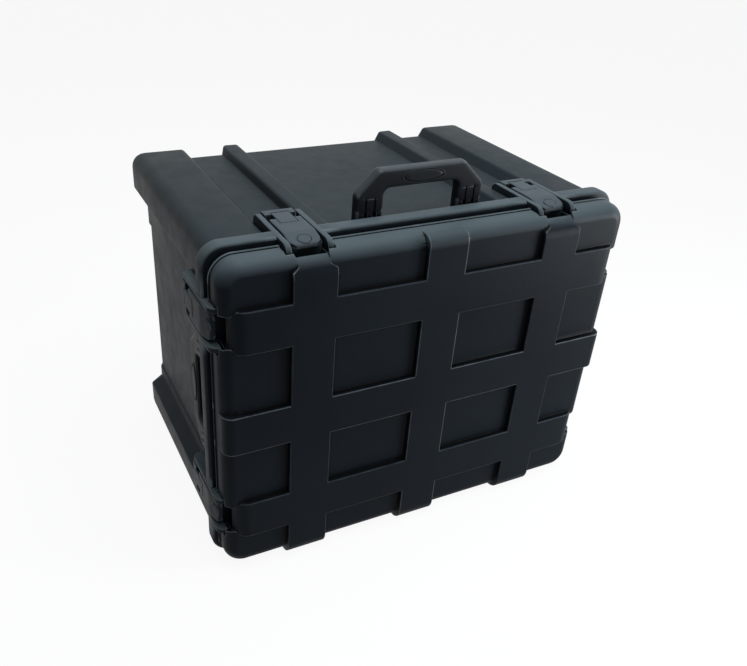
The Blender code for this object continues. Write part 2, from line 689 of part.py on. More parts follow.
def make_latch():
    """A latch with its hinge axis at the origin and its hook towards -Y."""
    corners = [
        (LATCH_AXIS_D + LATCH_BARREL, LATCH_TOP, LATCH_REAR_ROUND),
        (NOSE_BEND_D, LATCH_TOP, NOSE_BEND_ROUND),
        (NOSE_D, NOSE_N, NOSE_ROUND),
        (HOOK_FACE_D - HOOK_THICK, HOOK_N, 0),
        (HOOK_FACE_D, HOOK_N, 0),
        (HOOK_FACE_D, LATCH_UNDER, 0),
        (LATCH_BRIDGE_D, LATCH_UNDER, 0),
        (LATCH_BRIDGE_D, LATCH_BRIDGE, 0),
        (LATCH_AXIS_D - LATCH_BARREL * LATCH_HEEL_START, LATCH_BRIDGE, 0),
        (LATCH_AXIS_D - LATCH_BARREL * LATCH_HEEL_END, LATCH_AXIS_N - LATCH_BARREL, LATCH_HEEL_ROUND),
        (LATCH_AXIS_D + LATCH_BARREL, LATCH_AXIS_N - LATCH_BARREL, LATCH_BARREL * LATCH_BARREL_SOFT),
    ]
    side = LATCH_WIDTH / 2
    plate = slab([fillet(corners)], "YZ", -side, side)
    above = LATCH_TOP + OVERLAP
    below = LATCH_AXIS_N - LATCH_BARREL - OVERLAP
    front = TRIGGER_AXIS_D - TRIGGER_UNDER + TRIGGER_AXIS_N - TRIGGER_LENGTH
    pocket = box(
        (-POCKET_U, front - TRIGGER_GAP, TRIGGER_UNDER - TRIGGER_GAP),
        (POCKET_U, TRIGGER_AXIS_D - TRIGGER_UNDER + TRIGGER_AXIS_N + TRIGGER_GAP, above),
    )
    cuts = [pocket, rod(PIN_BORE, -side - OVERLAP, side + OVERLAP, (LATCH_AXIS_D, LATCH_AXIS_N))]
    for sign in (-1, 1):
        low, high = sorted((sign * (POCKET_U - FIT_GAP), sign * (side + OVERLAP)))
        cuts.append(box((low, NOTCH_D, below), (high, NOTCH_D + NOTCH_LENGTH, above)))
    reach = POCKET_U + TRUNNION_LENGTH
    cuts.append(rod(TRUNNION_RADIUS + FIT_GAP, -reach, reach, (TRIGGER_AXIS_D, TRIGGER_AXIS_N), 12))
    mesh = carve(plate, cuts=plain(cuts))
    mesh.transform(Matrix.Translation((0, -LATCH_AXIS_D, -LATCH_AXIS_N)))
    return mesh


def make_trigger():
    """The release trigger of a latch, with its own hinge axis at the origin."""
    heel = TRIGGER_AXIS_N - TRIGGER_UNDER
    front = heel - TRIGGER_LENGTH
    corners = [
        (front, TRIGGER_UNDER - TRIGGER_AXIS_N, 0),
        (heel, TRIGGER_UNDER - TRIGGER_AXIS_N, heel * ROUND_LIMIT),
        (heel, TRIGGER_TOP - TRIGGER_AXIS_N, heel * ROUND_LIMIT),
        (front, TRIGGER_TOP - TRIGGER_AXIS_N, TRIGGER_EDGE_ROUND),
    ]
    plate = slab([fillet(corners)], "YZ", -TRIGGER_WIDTH / 2, TRIGGER_WIDTH / 2)
    reach = TRIGGER_WIDTH / 2 + TRUNNION_LENGTH
    return carve(plate, joins=plain([rod(TRUNNION_RADIUS, -reach, reach, sides=12)]))


def make_handle():
    """A carrying handle that stands up from its hinge axis at the origin, with slots for the lugs."""
    half = HANDLE_WIDTH / 2
    chamfer = HANDLE_REACH - HANDLE_CHAMFER
    grip = HANDLE_REACH - HANDLE_GRIP
    corners = [
        (HANDLE_OPENING, -HANDLE_HEEL, 0),
        (half, -HANDLE_HEEL, 0),
        (half, chamfer, HANDLE_CORNER_ROUND),
        (HANDLE_FLAT / 2, HANDLE_REACH, HANDLE_CORNER_ROUND),
        (-HANDLE_FLAT / 2, HANDLE_REACH, HANDLE_CORNER_ROUND),
        (-half, chamfer, HANDLE_CORNER_ROUND),
        (-half, -HANDLE_HEEL, 0),
        (-HANDLE_OPENING, -HANDLE_HEEL, 0),
        (-HANDLE_OPENING, grip, HANDLE_OPENING_ROUND),
        (HANDLE_OPENING, grip, HANDLE_OPENING_ROUND),
    ]
    mesh = slab([fillet(corners, 3)], "XZ", -HANDLE_FRONT, HANDLE_REAR)
    bm = bmesh.new()
    bm.from_mesh(mesh)
    heels = [e for e in bm.edges if all(abs(v.co.z + HANDLE_HEEL) < SAME_PLACE for v in e.verts)]
    heels = [e for e in heels if abs(e.verts[0].co.y - e.verts[1].co.y) < SAME_PLACE]
    heel_round = HANDLE_HEEL * HANDLE_HEEL_SOFT
    bmesh.ops.bevel(bm, geom=heels, offset=heel_round, segments=2, profile=0.5, affect="EDGES")
    edges = [e for e in bm.edges if e.is_convex and e.calc_face_angle() > SHARP_ANGLE]
    edges = [e for e in edges if all(v.co.z > HANDLE_HEEL for v in e.verts)]
    bmesh.ops.bevel(bm, geom=edges, offset=HANDLE_EDGE, segments=2, profile=0.5, affect="EDGES")
    bm.to_mesh(mesh)
    bm.free()
    cuts = [rod(PIN_BORE, -half - OVERLAP, half + OVERLAP)]
    reach = LUG_WIDTH / 2 + LUG_GAP
    for place in LUG_PLACES:
        low = (place - reach, -HANDLE_FRONT - OVERLAP, -HANDLE_HEEL - OVERLAP)
        cuts.append(box(low, (place + reach, HANDLE_REAR + OVERLAP, LUG_SLOT)))
    return carve(mesh, cuts=plain(cuts))


def make_rack_rail(side, end):
    """An angle rail with a row of square holes at the rack pitch."""
    face = FRONT_Y + (RAIL_FRONT_D if end < 0 else RAIL_REAR_D)
    out = RAIL_OUT_X
    height = RACK_UNITS * RACK_UNIT
    corners = [
        (out - RAIL_FACE, 0, 0),
        (out, 0, 0),
        (out, RAIL_RETURN, 0),
        (out - RAIL_SHEET, RAIL_RETURN, 0),
        (out - RAIL_SHEET, RAIL_SHEET, 0),
        (out - RAIL_FACE, RAIL_SHEET, 0),
    ]
    low = MID_Z - height / 2 - RAIL_END
    mesh = slab([fillet(corners)], "XY", low, MID_Z + height / 2 + RAIL_END)
    holes = []
    half = RACK_HOLE_SIZE / 2
    x = RACK_HOLE_SPAN / 2
    for unit in range(RACK_UNITS):
        for step in (-1, 0, 1):
            z = MID_Z - height / 2 + (unit + 0.5) * RACK_UNIT + step * RACK_HOLE_PITCH
            low_corner = (x - half, -RAIL_SHEET, z - half)
            holes.append(box(low_corner, (x + half, RAIL_SHEET * 2, z + half)))
    mesh = carve(mesh, cuts=plain(holes))
    mirror = Matrix.Diagonal((side, -end, 1, 1))
    mesh.transform(mirror)
    if side * -end < 0:
        mesh.flip_normals()
    mesh.transform(Matrix.Translation((0, face, 0)))
    return mesh


def make_side_bar(side, level):
    """A flat bar that joins a front rail to a rear one and carries two shock mounts."""
    low, high = sorted((side * SIDE_BAR_X, side * (SIDE_BAR_X + SIDE_BAR_SHEET)))
    z = MID_Z + level * MOUNT_PLACE_Z
    half = SIDE_BAR_HEIGHT / 2
    bar = box((low, FRONT_Y + RAIL_FRONT_D, z - half), (high, FRONT_Y + RAIL_REAR_D, z + half))
    holes = [
        rod(BOLT_RADIUS + FIT_GAP, low - OVERLAP, high + OVERLAP, (FRONT_Y + d, z), 12)
        for d in (MOUNT_FRONT_D, MOUNT_REAR_D)
    ]
    return carve(bar, cuts=plain(holes))


def make_cross_bar(end, level):
    """A flat bar across the ends of two rails."""
    d = RAIL_FRONT_D + OVERLAP if end < 0 else RAIL_REAR_D - CROSS_BAR_DEPTH - OVERLAP
    z = MID_Z + level * (RACK_UNITS * RACK_UNIT / 2 + RAIL_END + FIT_GAP)
    low, high = sorted((z, z + level * CROSS_BAR_SHEET))
    return box((-RAIL_OUT_X, FRONT_Y + d, low), (RAIL_OUT_X, FRONT_Y + d + CROSS_BAR_DEPTH, high))


def make_mount():
    """A shock mount along +X with a blind bore for its bolt, starting at the origin."""
    bore = BOLT_RADIUS + FIT_GAP
    end = MOUNT_LENGTH
    profile = [
        (BOLT_DEPTH + FIT_GAP, 0),
        (BOLT_DEPTH + FIT_GAP, bore),
        (0, bore),
        (0, MOUNT_RADIUS),
        (MOUNT_FOOT, MOUNT_RADIUS),
        (MOUNT_FOOT * MOUNT_TAPER, MOUNT_WAIST),
        (end - MOUNT_FOOT * MOUNT_TAPER, MOUNT_WAIST),
        (end - MOUNT_FOOT, MOUNT_RADIUS),
        (end, MOUNT_RADIUS),
        (end, 0),
    ]
    return turned(profile)


def make_bolt():
    """The bolt of a shock mount along +X; its head seats at the origin."""
    reach = SIDE_BAR_SHEET + FIT_GAP * 2 + BOLT_DEPTH
    profile = [
        (-BOLT_HEAD, 0),
        (-BOLT_HEAD, BOLT_HEAD_RADIUS * BOLT_CROWN_RADIUS),
        (-BOLT_HEAD * BOLT_CROWN_START, BOLT_HEAD_RADIUS),
        (0, BOLT_HEAD_RADIUS),
        (0, BOLT_RADIUS),
        (reach, BOLT_RADIUS),
        (reach, 0),
    ]
    return turned(profile, 10)


def make_material(name, colour, roughness, metallic=0.0):
    """A plain Principled material."""
    material = bpy.data.materials.new(name)
    material.use_nodes = True
    shader = material.node_tree.nodes["Principled BSDF"]
    shader.inputs["Base Color"].default_value = (*colour, 1)
    shader.inputs["Roughness"].default_value = roughness
    shader.inputs["Metallic"].default_value = metallic
    return material


def add_part(name, mesh, material, matrix=Matrix.Identity(4)):
    """One named piece of the case."""
    mesh.name = name
    mesh.materials.clear()
    mesh.materials.append(material)
    obj = bpy.data.objects.new(name, mesh)
    obj.matrix_world = matrix
    CASE.objects.link(obj)
    return obj


for old in list(bpy.data.objects):
    bpy.data.objects.remove(old)
CASE = bpy.data.collections.new("equipment_rack_case")
bpy.context.scene.collection.children.link(CASE)

SHELL_PLASTIC = make_material("shell_plastic", (0.020, 0.023, 0.027), 0.52)
LATCH_PLASTIC = make_material("latch_plastic", (0.024, 0.027, 0.031), 0.46)
HANDLE_PLASTIC = make_material("handle_plastic", (0.016, 0.018, 0.021), 0.50)
RUBBER = make_material("seal_rubber", (0.010, 0.010, 0.011), 0.80)
STEEL = make_material("pin_steel", (0.55, 0.56, 0.57), 0.32, 1.0)
RACK_PAINT = make_material("rack_paint", (0.020, 0.020, 0.022), 0.45)

add_part("case_body", make_case_body(), SHELL_PLASTIC)
add_part("lid_shell", make_lid(), SHELL_PLASTIC)
add_part("lid_gasket", make_gasket(), RUBBER)

# Latches, each with its trigger and pin
LATCH_MESH = make_latch()
TRIGGER_MESH = make_trigger()
LATCH_PIN = GUARD_OUT_U - PIN_END_GAP
LATCH_PIN_MESH = rod(PIN_RADIUS, -LATCH_PIN, LATCH_PIN)
for name, side, along in LATCHES:
    latch_frame = station(side, along) @ Matrix.Translation((0, LATCH_AXIS_D, LATCH_AXIS_N))
    trigger_frame = station(side, along) @ Matrix.Translation((0, TRIGGER_AXIS_D, TRIGGER_AXIS_N))
    add_part("latch_" + name, LATCH_MESH.copy(), LATCH_PLASTIC, latch_frame)
    add_part("latch_trigger_" + name, TRIGGER_MESH.copy(), LATCH_PLASTIC, trigger_frame)
    add_part("latch_pin_" + name, LATCH_PIN_MESH.copy(), STEEL, latch_frame)

# Handles: the top one stands up, the side ones lie back against the case
HANDLE_MESH = make_handle()
PIN_INNER = HANDLE_OPENING + PIN_END_GAP
PIN_OUTER = HANDLE_WIDTH / 2 - PIN_END_GAP
for side in ("top", "left", "right"):
    hinge = station(side, 0.0) @ Matrix.Translation((0, HANDLE_AXIS_D, handle_axis(side)))
    folded = Matrix.Rotation(0.0 if side == "top" else -math.pi / 2, 4, "X")
    add_part("handle_" + side, HANDLE_MESH.copy(), HANDLE_PLASTIC, hinge @ folded)
    for label, sign in (("a", -1), ("b", 1)):
        pin_low, pin_high = sorted((sign * PIN_INNER, sign * PIN_OUTER))
        add_part("handle_pin_" + side + "_" + label, rod(PIN_RADIUS, pin_low, pin_high), STEEL, hinge)

# Rack frame on its shock mounts
MOUNT_MESH = make_mount()
BOLT_MESH = make_bolt()
for side, side_name in ((-1, "left"), (1, "right")):
    for end, end_name in ((-1, "front"), (1, "rear")):
        add_part("rack_rail_" + end_name + "_" + side_name, make_rack_rail(side, end), RACK_PAINT)
    for level, level_name in ((1, "upper"), (-1, "lower")):
        add_part("frame_side_" + side_name + "_" + level_name, make_side_bar(side, level), RACK_PAINT)
        for d, end_name in ((MOUNT_FRONT_D, "front"), (MOUNT_REAR_D, "rear")):
            label = side_name + "_" + level_name + "_" + end_name
            outward = Matrix.Rotation(0.0 if side > 0 else math.pi, 4, "Z")
            height = MID_Z + level * MOUNT_PLACE_Z
            seat = Matrix.Translation((side * MOUNT_X, FRONT_Y + d, height)) @ outward
            head = Matrix.Translation((side * (SIDE_BAR_X - FIT_GAP), FRONT_Y + d, height)) @ outward
            add_part("shock_mount_" + label, MOUNT_MESH.copy(), RUBBER, seat)
            add_part("mount_bolt_" + label, BOLT_MESH.copy(), STEEL, head)
for end, end_name in ((-1, "front"), (1, "rear")):
    for level, level_name in ((1, "top"), (-1, "bottom")):
        add_part("frame_cross_" + end_name + "_" + level_name, make_cross_bar(end, level), RACK_PAINT)
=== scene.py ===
# %% [markdown]
# # Dressing a moulded rack case
# A rack case is a thick plastic moulding with a lift-off lid, trigger latches, folding handles and a
# steel rack frame hung on rubber inside. The solids already hold its sizes and its joints. Here every
# outer surface is worked out again as a grid of points, fine enough for the soft edges that catch the
# light on a real moulding, and each piece gets a finish made of nodes.

# %% Load the solids
import math

import bpy
import numpy as np
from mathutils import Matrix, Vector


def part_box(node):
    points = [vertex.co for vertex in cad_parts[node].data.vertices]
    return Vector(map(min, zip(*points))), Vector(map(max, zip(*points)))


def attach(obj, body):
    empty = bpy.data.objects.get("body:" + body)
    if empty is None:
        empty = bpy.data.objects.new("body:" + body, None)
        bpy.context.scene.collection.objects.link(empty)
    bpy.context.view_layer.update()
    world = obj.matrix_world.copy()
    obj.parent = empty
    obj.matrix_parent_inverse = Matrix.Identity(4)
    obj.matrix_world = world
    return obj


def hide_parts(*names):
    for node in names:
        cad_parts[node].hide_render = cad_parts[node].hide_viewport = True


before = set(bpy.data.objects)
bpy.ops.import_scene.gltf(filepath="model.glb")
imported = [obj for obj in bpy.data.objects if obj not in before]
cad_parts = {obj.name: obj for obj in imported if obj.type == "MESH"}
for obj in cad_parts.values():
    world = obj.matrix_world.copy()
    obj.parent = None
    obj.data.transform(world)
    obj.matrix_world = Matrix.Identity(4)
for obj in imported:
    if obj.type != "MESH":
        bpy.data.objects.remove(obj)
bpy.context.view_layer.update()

# %% [markdown]
# ## One way of measuring
# All shapes below are in millimetres. Depth counts back from the front of the lid, height counts from
# the middle of the flange. The main sizes come from the solids, so a piece lands where its solid is.

# %% Sizes taken from the frame
MM = 0.001


def corners_of(node):
    """Lowest and highest corner of a solid in millimetres, rounded to a hundredth."""
    return [np.round(np.array(corner) / MM, 2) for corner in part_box(node)]


SEAL_DROP = 15.5
lid_low, lid_high = corners_of("lid_shell")
seal_low, seal_high = corners_of("lid_gasket")
FRONT = lid_low[1]
MIDDLE = (seal_low[2] + seal_high[2]) / 2
LID_DEPTH = lid_high[1] - FRONT
CASE_DEPTH = corners_of("case_body")[1][1] - FRONT
FLANGE_X = seal_high[0] + SEAL_DROP
FLANGE_Z = seal_high[2] - MIDDLE + SEAL_DROP
LATCH_NAMES = ("top_left", "top_right", "left_upper", "left_lower", "right_upper", "right_lower")
LATCHES = {}
for name in LATCH_NAMES:
    low, high = corners_of("latch_" + name)
    side = name.split("_")[0]
    centre = (low + high) / 2
    LATCHES[name] = (side, centre[0] if side == "top" else centre[2] - MIDDLE)
BAND_X = LATCHES["top_right"][1]
BAND_Z = LATCHES["left_upper"][1]
print("flange", FLANGE_X, FLANGE_Z, "bands at", BAND_X, BAND_Z, "depth", CASE_DEPTH)

# %% [markdown]
# ## Small helpers
# A surface is a grid of points joined by quads. These helpers place points in the case, join grid
# lines into faces, turn a shell the right way out and make the finished object.

# %% Places


def in_case(x, depth, height):
    """Points of the case from three arrays: across, back from the lid's front, up from the middle."""
    x, depth, height = np.broadcast_arrays(x, depth, height)
    return np.stack([x, FRONT + depth, MIDDLE + height], axis=-1).reshape(-1, 3)


def at_side(side, along, u, depth, n):
    """Points of a latch or handle: u along the flange, depth, and n above the flange's outer face."""
    u, depth, n = np.broadcast_arrays(u, depth, n)
    if side == "top":
        return in_case(along + u, depth, FLANGE_Z + n)
    if side == "left":
        return in_case(-FLANGE_X - n, depth, along + u)
    return in_case(FLANGE_X + n, depth, along - u)


# %% Grids
LEAST_GAP = 0.04


def grid_lines(step, *marks):
    """The marks in order, with evenly spaced lines added wherever two are more than a step apart."""
    marks = np.unique(np.round(np.concatenate([np.ravel(mark) for mark in marks]), 3))
    marks = marks[np.append(True, np.diff(marks) > LEAST_GAP)]
    runs = [np.linspace(a, b, math.ceil((b - a) / step), endpoint=False) for a, b in zip(marks, marks[1:])]
    return np.append(np.concatenate(runs), marks[-1])


def both_ways(marks):
    """The marks and their mirror images."""
    return np.concatenate([np.ravel(marks), -np.ravel(marks)])


def grid_faces(rows, columns, close_rows=False, close_columns=False):
    """Quads between neighbouring lines; a closed direction joins its last line to its first."""
    i = np.arange(rows if close_rows else rows - 1)
    j = np.arange(columns if close_columns else columns - 1)
    i, j = np.meshgrid(i, j, indexing="ij")
    after_i = (i + 1) % rows
    after_j = (j + 1) % columns
    quads = [i * columns + j, after_i * columns + j, after_i * columns + after_j, i * columns + after_j]
    return np.stack(quads, axis=-1).reshape(-1, 4)


def fan(pole, ring):
    """Triangles from a pole to each pair of neighbours on a closed ring of point numbers."""
    return np.stack([np.full(len(ring), pole), ring, np.roll(ring, -1)], axis=-1)


# %% Shells


def facing_out(points, faces):
    """The shell with its faces turned over if the volume that they enclose comes out negative."""
    volume = 0.0
    for group in faces:
        first = points[group[:, 0]][:, None]
        volume += (first * np.cross(points[group[:, 1:-1]], points[group[:, 2:]])).sum()
    return points, faces if volume > 0 else [group[:, ::-1] for group in faces]


def joined(shells):
    """Several shells as one: points stacked, point numbers moved along."""
    starts = np.cumsum([0] + [len(points) for points, _ in shells])
    faces = [group + start for start, (_, groups) in zip(starts, shells) for group in groups]
    return np.concatenate([points for points, _ in shells]), faces


def tube(rings):
    """A closed shell from rings of points (ring, around, 3); each end closes on its ring's mean point."""
    count, around = rings.shape[:2]
    points = np.concatenate([rings.reshape(-1, 3), rings[[0, -1]].mean(axis=1)])
    ring = np.arange(around)
    faces = [grid_faces(count, around, close_columns=True), fan(count * around, ring)]
    faces.append(fan(count * around + 1, (count - 1) * around + ring[::-1]))
    return facing_out(points, faces)


# %% Objects
SHARP_ANGLE = math.radians(38)
EDGE_GAIN = 2.2
WIDE_FACE = 0.0032
TINY = 1e-12


def read_out(items, key, kind=np.float32, width=1):
    """One property of every item in a part of a mesh, as an array."""
    values = np.empty(len(items) * width, kind)
    items.foreach_get(key, values)
    return values.reshape(-1, width) if width > 1 else values


def on_wide_faces(mesh, lengths):
    """Points of faces that are wide, four times the area over the outline, where no edge mask lies."""
    corners = read_out(mesh.loops, "vertex_index", np.int32)
    sides = lengths[read_out(mesh.loops, "edge_index", np.int32)]
    counts = read_out(mesh.polygons, "loop_total", np.int32)
    outline = np.add.reduceat(sides, np.cumsum(counts) - counts)
    wide = 4 * read_out(mesh.polygons, "area") > WIDE_FACE * outline
    return np.unique(corners[np.repeat(wide, counts)])


def mark_edges(mesh, dust_and_top_light, up, shade):
    """Store three masks. The mean lean of a point's edges away from its normal says how far it stands
    out, for paler edges with a painted highlight, or lies in a hollow, where painted shade can be given,
    and the height of its normal, or of one given, how far it faces up, for a pale tone of dust and
    painted light from above."""
    places = read_out(mesh.vertices, "co", width=3)
    normals = read_out(mesh.vertex_normals, "vector", width=3)
    ends = read_out(mesh.edges, "vertices", np.int32, 2)
    start, end = ends.T
    way = places[end] - places[start]
    lengths = np.linalg.norm(way, axis=1)
    way /= lengths[:, None] + TINY
    lean = np.bincount(start, -(way * normals[start]).sum(1), len(places))
    lean += np.bincount(end, (way * normals[end]).sum(1), len(places))
    lean *= EDGE_GAIN / np.maximum(np.bincount(ends.ravel(), minlength=len(places)), 1)
    lean[on_wide_faces(mesh, lengths)] = 0
    up = normals[:, 2] if up is None else up
    # The edge mask gives paler edges with a painted highlight, the crease and shade masks give painted
    # shade, and the up mask a pale tone of dust and painted light from above.
    masks = {"edge": lean, "crease_shade": np.maximum(-lean, shade), "dust_and_top_light": dust_and_top_light * np.maximum(up, 0)}
    for key, mask in masks.items():
        store = mesh.attributes.new(key, "FLOAT", "POINT")
        store.data.foreach_set("value", np.clip(mask, 0, 1).astype(np.float32))


def make_piece(name, shell, body, slot, material, replaced=(), dust_and_top_light=1.0, up=None, shade=0.0):
    """A finished piece from a shell in millimetres: smooth, with creases where faces turn sharply."""
    points, faces = shell
    mesh = bpy.data.meshes.new(name)
    mesh.from_pydata((points * MM).tolist(), [], [face for group in faces for face in group.tolist()])
    mesh.shade_smooth()
    mesh.set_sharp_from_angle(angle=SHARP_ANGLE)
    mark_edges(mesh, dust_and_top_light, up, shade)
    mesh.materials.append(material)
    piece = bpy.data.objects.new(name, mesh)
    bpy.context.scene.collection.objects.link(piece)
    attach(piece, body)
    if replaced:
        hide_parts(*replaced)
    print(name, "points", len(points), "faces", len(mesh.polygons))
    return piece


# %% [markdown]
# ## Finishes
# The whole case is one family of black plastics, so one shared group gives the moulded look: a fine
# spark-eroded grain, slow clouds in tone and gloss, paler edges that are partly rubbed polish and partly
# a painted highlight, painted shade in creases and beside the bands, and a pale tone on whatever faces
# up that is partly dust and partly painted light from above. The masks for edges, creases and the pale
# tone are stored in each mesh. Every material places the group with its own colours and values.

# %% The moulded finish and painted light group
# Strength of the paler edges: partly rubbed wear, partly a painted highlight.
WEAR_AND_HIGHLIGHT = 0.8
POLISH = 0.12
BUMP_DISTANCE = 0.0004


def new_socket(tree, name, kind, direction="INPUT"):
    """One named socket on a group's outside."""
    tree.interface.new_socket(name, in_out=direction, socket_type="NodeSocket" + kind)


def add_node(tree, kind, values=None, **settings):
    """A node with settings given by name and input values given by socket."""
    node = tree.nodes.new("ShaderNode" + kind)
    for key, value in settings.items():
        setattr(node, key, value)
    for key, value in (values or {}).items():
        node.inputs[key].default_value = value
    return node


def noise(tree, place, scale, detail, rough=0.55):
    """A noise texture read at a place; the scale may be a socket."""
    node = add_node(tree, "TexNoise", {"Detail": detail, "Roughness": rough})
    tree.links.new(place, node.inputs["Vector"])
    if isinstance(scale, (int, float)):
        node.inputs["Scale"].default_value = scale
    else:
        tree.links.new(scale, node.inputs["Scale"])
    return node.outputs["Fac"]


def sums(tree, operation, first, second):
    """A Math node between two sockets or numbers."""
    node = add_node(tree, "Math", operation=operation)
    for index, value in enumerate((first, second)):
        if isinstance(value, (int, float)):
            node.inputs[index].default_value = value
        else:
            tree.links.new(value, node.inputs[index])
    return node.outputs[0]


def ramp(tree, value, low, high, to_low=0.0, to_high=1.0):
    """A value carried from one range to another and held at its ends."""
    node = add_node(tree, "MapRange", clamp=True)
    tree.links.new(value, node.inputs["Value"])
    for key, number in (("From Min", low), ("From Max", high), ("To Min", to_low), ("To Max", to_high)):
        node.inputs[key].default_value = number
    return node.outputs["Result"]


def mix_colours(tree, share, first, second):
    """A colour between two sockets."""
    node = add_node(tree, "Mix", data_type="RGBA")
    tree.links.new(share, node.inputs[0])
    tree.links.new(first, node.inputs[6])
    tree.links.new(second, node.inputs[7])
    return node.outputs[2]


# %% What the group does


def moulded_group():
    """Grain, clouds, paler polished edges that are partly rubbed wear and partly a painted highlight,
    painted shade in creases, and a pale tone on what faces up that is partly dust and partly painted
    light from above: the colour, roughness and height of a moulded surface."""
    tree = bpy.data.node_groups.new("moulded_finish_and_painted_light", "ShaderNodeTree")
    for name in ("Deep", "Pale", "Wear And Highlight", "Dust And Top Light"):
        new_socket(tree, name, "Color")
    for name in ("Grain Scale", "Dull"):
        new_socket(tree, name, "Float")
    for name, kind in (("Color", "Color"), ("Roughness", "Float"), ("Height", "Float")):
        new_socket(tree, name, kind, "OUTPUT")
    inside = tree.nodes.new("NodeGroupInput").outputs
    outside = tree.nodes.new("NodeGroupOutput").inputs
    place = add_node(tree, "TexCoord").outputs["Object"]
    edge, facing, crease_shade = (
        add_node(tree, "Attribute", attribute_name=key).outputs["Fac"] for key in ("edge", "dust_and_top_light", "crease_shade")
    )
    grain = noise(tree, place, inside["Grain Scale"], 2.0)
    cloud = noise(tree, place, 5.0, 3.0)
    smear = noise(tree, place, 34.0, 4.0, 0.65)
    # Paler edges: partly rubbed wear, partly a painted highlight along convex edges.
    wear_and_highlight = sums(tree, "MULTIPLY", ramp(tree, edge, 0.14, 0.45), ramp(tree, smear, 0.30, 0.60, 0.4, 1.0))
    wear_and_highlight = sums(tree, "MULTIPLY", wear_and_highlight, WEAR_AND_HIGHLIGHT)
    clouded = ramp(tree, cloud, 0.30, 0.70, 0.0, 0.7)
    tone = sums(tree, "ADD", clouded, ramp(tree, grain, 0.35, 0.65, 0.0, 0.3))
    colour = mix_colours(tree, tone, inside["Deep"], inside["Pale"])
    # Pale tone on what faces up: partly dust, partly painted light from above.
    dust_and_top_light = sums(tree, "MULTIPLY", facing, ramp(tree, cloud, 0.25, 0.75, 0.75, 1.0))
    colour = mix_colours(tree, dust_and_top_light, colour, inside["Dust And Top Light"])
    colour = mix_colours(tree, wear_and_highlight, colour, inside["Wear And Highlight"])
    # Painted shade: the colour is darkened in creases and beside the bands.
    shade = add_node(tree, "VectorMath", operation="SCALE")
    tree.links.new(colour, shade.inputs["Vector"])
    tree.links.new(ramp(tree, crease_shade, 0.02, 0.18, 1.0, 0.05), shade.inputs["Scale"])
    tree.links.new(shade.outputs["Vector"], outside["Color"])
    smeared = ramp(tree, smear, 0.3, 0.7, -0.05, 0.05)
    gloss = sums(tree, "ADD", smeared, ramp(tree, cloud, 0.3, 0.7, -0.04, 0.04))
    dull = sums(tree, "ADD", inside["Dull"], gloss)
    polished = sums(tree, "SUBTRACT", dull, sums(tree, "MULTIPLY", wear_and_highlight, POLISH))
    tree.links.new(polished, outside["Roughness"])
    tree.links.new(sums(tree, "ADD", grain, sums(tree, "MULTIPLY", smear, 0.25)), outside["Height"])
    return tree


MOULDED = moulded_group()
print("group", MOULDED.name, [item.name for item in MOULDED.interface.items_tree])

# %% Materials


def finish(name, deep, pale, wear_and_highlight, dust_and_top_light, dull, grain=900.0, bump=0.25, metallic=0.0, shine=0.05):
    """A Principled material fed by the group of moulded finish and painted light, with a fine bump."""
    material = bpy.data.materials.new(name)
    material.use_nodes = True
    tree = material.node_tree
    shader = tree.nodes["Principled BSDF"]
    shader.inputs["Metallic"].default_value = metallic
    shader.inputs["Specular IOR Level"].default_value = shine
    group = add_node(tree, "Group", node_tree=MOULDED)
    for key, colour in (("Deep", deep), ("Pale", pale), ("Wear And Highlight", wear_and_highlight), ("Dust And Top Light", dust_and_top_light)):
        group.inputs[key].default_value = (*colour, 1)
    group.inputs["Grain Scale"].default_value = grain
    group.inputs["Dull"].default_value = dull
    grain_bump = add_node(tree, "Bump", {"Strength": bump, "Distance": BUMP_DISTANCE})
    tree.links.new(group.outputs["Color"], shader.inputs["Base Color"])
    tree.links.new(group.outputs["Roughness"], shader.inputs["Roughness"])
    tree.links.new(group.outputs["Height"], grain_bump.inputs["Height"])
    tree.links.new(grain_bump.outputs["Normal"], shader.inputs["Normal"])
    return material


# Colours: deep and pale tone, paler edges (rubbed wear with a painted highlight), and the up-facing tone
# (dust with painted light from above).
SHELL_PLASTIC = finish(
    "shell_plastic",
    (0.0021, 0.0040, 0.0062), (0.0042, 0.0070, 0.0104), (0.114, 0.138, 0.154), (0.077, 0.100, 0.112),
    0.48,
)
LATCH_PLASTIC = finish(
    "latch_plastic",
    (0.0046, 0.0074, 0.0106), (0.008, 0.0118, 0.016), (0.122, 0.146, 0.162), (0.069, 0.087, 0.098),
    0.46,
)
HANDLE_PLASTIC = finish(
    "handle_plastic",
    (0.004, 0.005, 0.0065), (0.0065, 0.008, 0.010), (0.120, 0.136, 0.150), (0.060, 0.070, 0.080),
    0.45,
)
BADGE_PLASTIC = finish(
    "badge_plastic",
    (0.005, 0.0065, 0.008), (0.008, 0.010, 0.012), (0.030, 0.035, 0.040), (0.040, 0.046, 0.052),
    0.42,
)
SEAL_RUBBER = finish(
    "seal_rubber",
    (0.005, 0.005, 0.006), (0.009, 0.009, 0.010), (0.020, 0.020, 0.020), (0.012, 0.012, 0.013),
    0.78, grain=500.0,
)
RACK_PAINT = finish(
    "rack_paint",
    (0.012, 0.012, 0.014), (0.018, 0.018, 0.020), (0.090, 0.090, 0.090), (0.022, 0.022, 0.024),
    0.42, grain=700.0,
)
PIN_STEEL = finish(
    "pin_steel",
    (0.46, 0.47, 0.48), (0.62, 0.63, 0.64), (0.70, 0.70, 0.70), (0.54, 0.55, 0.56),
    0.32, grain=260.0, bump=0.1, metallic=1.0, shine=0.5,
)
print("materials", len(bpy.data.materials))

# %% [markdown]
# ## The lid
# The lid is a shallow tray with three upright and three level raised bands, and a well for each latch.
# It could be cut from blocks, but then every edge would need its own bevel. Instead one flat sheet is
# bent over the tray's edge: inside, a grid point stays put, and past the edge it travels round the
# rounded corner and down the wall. Bands and wells are then only a height above that sheet.

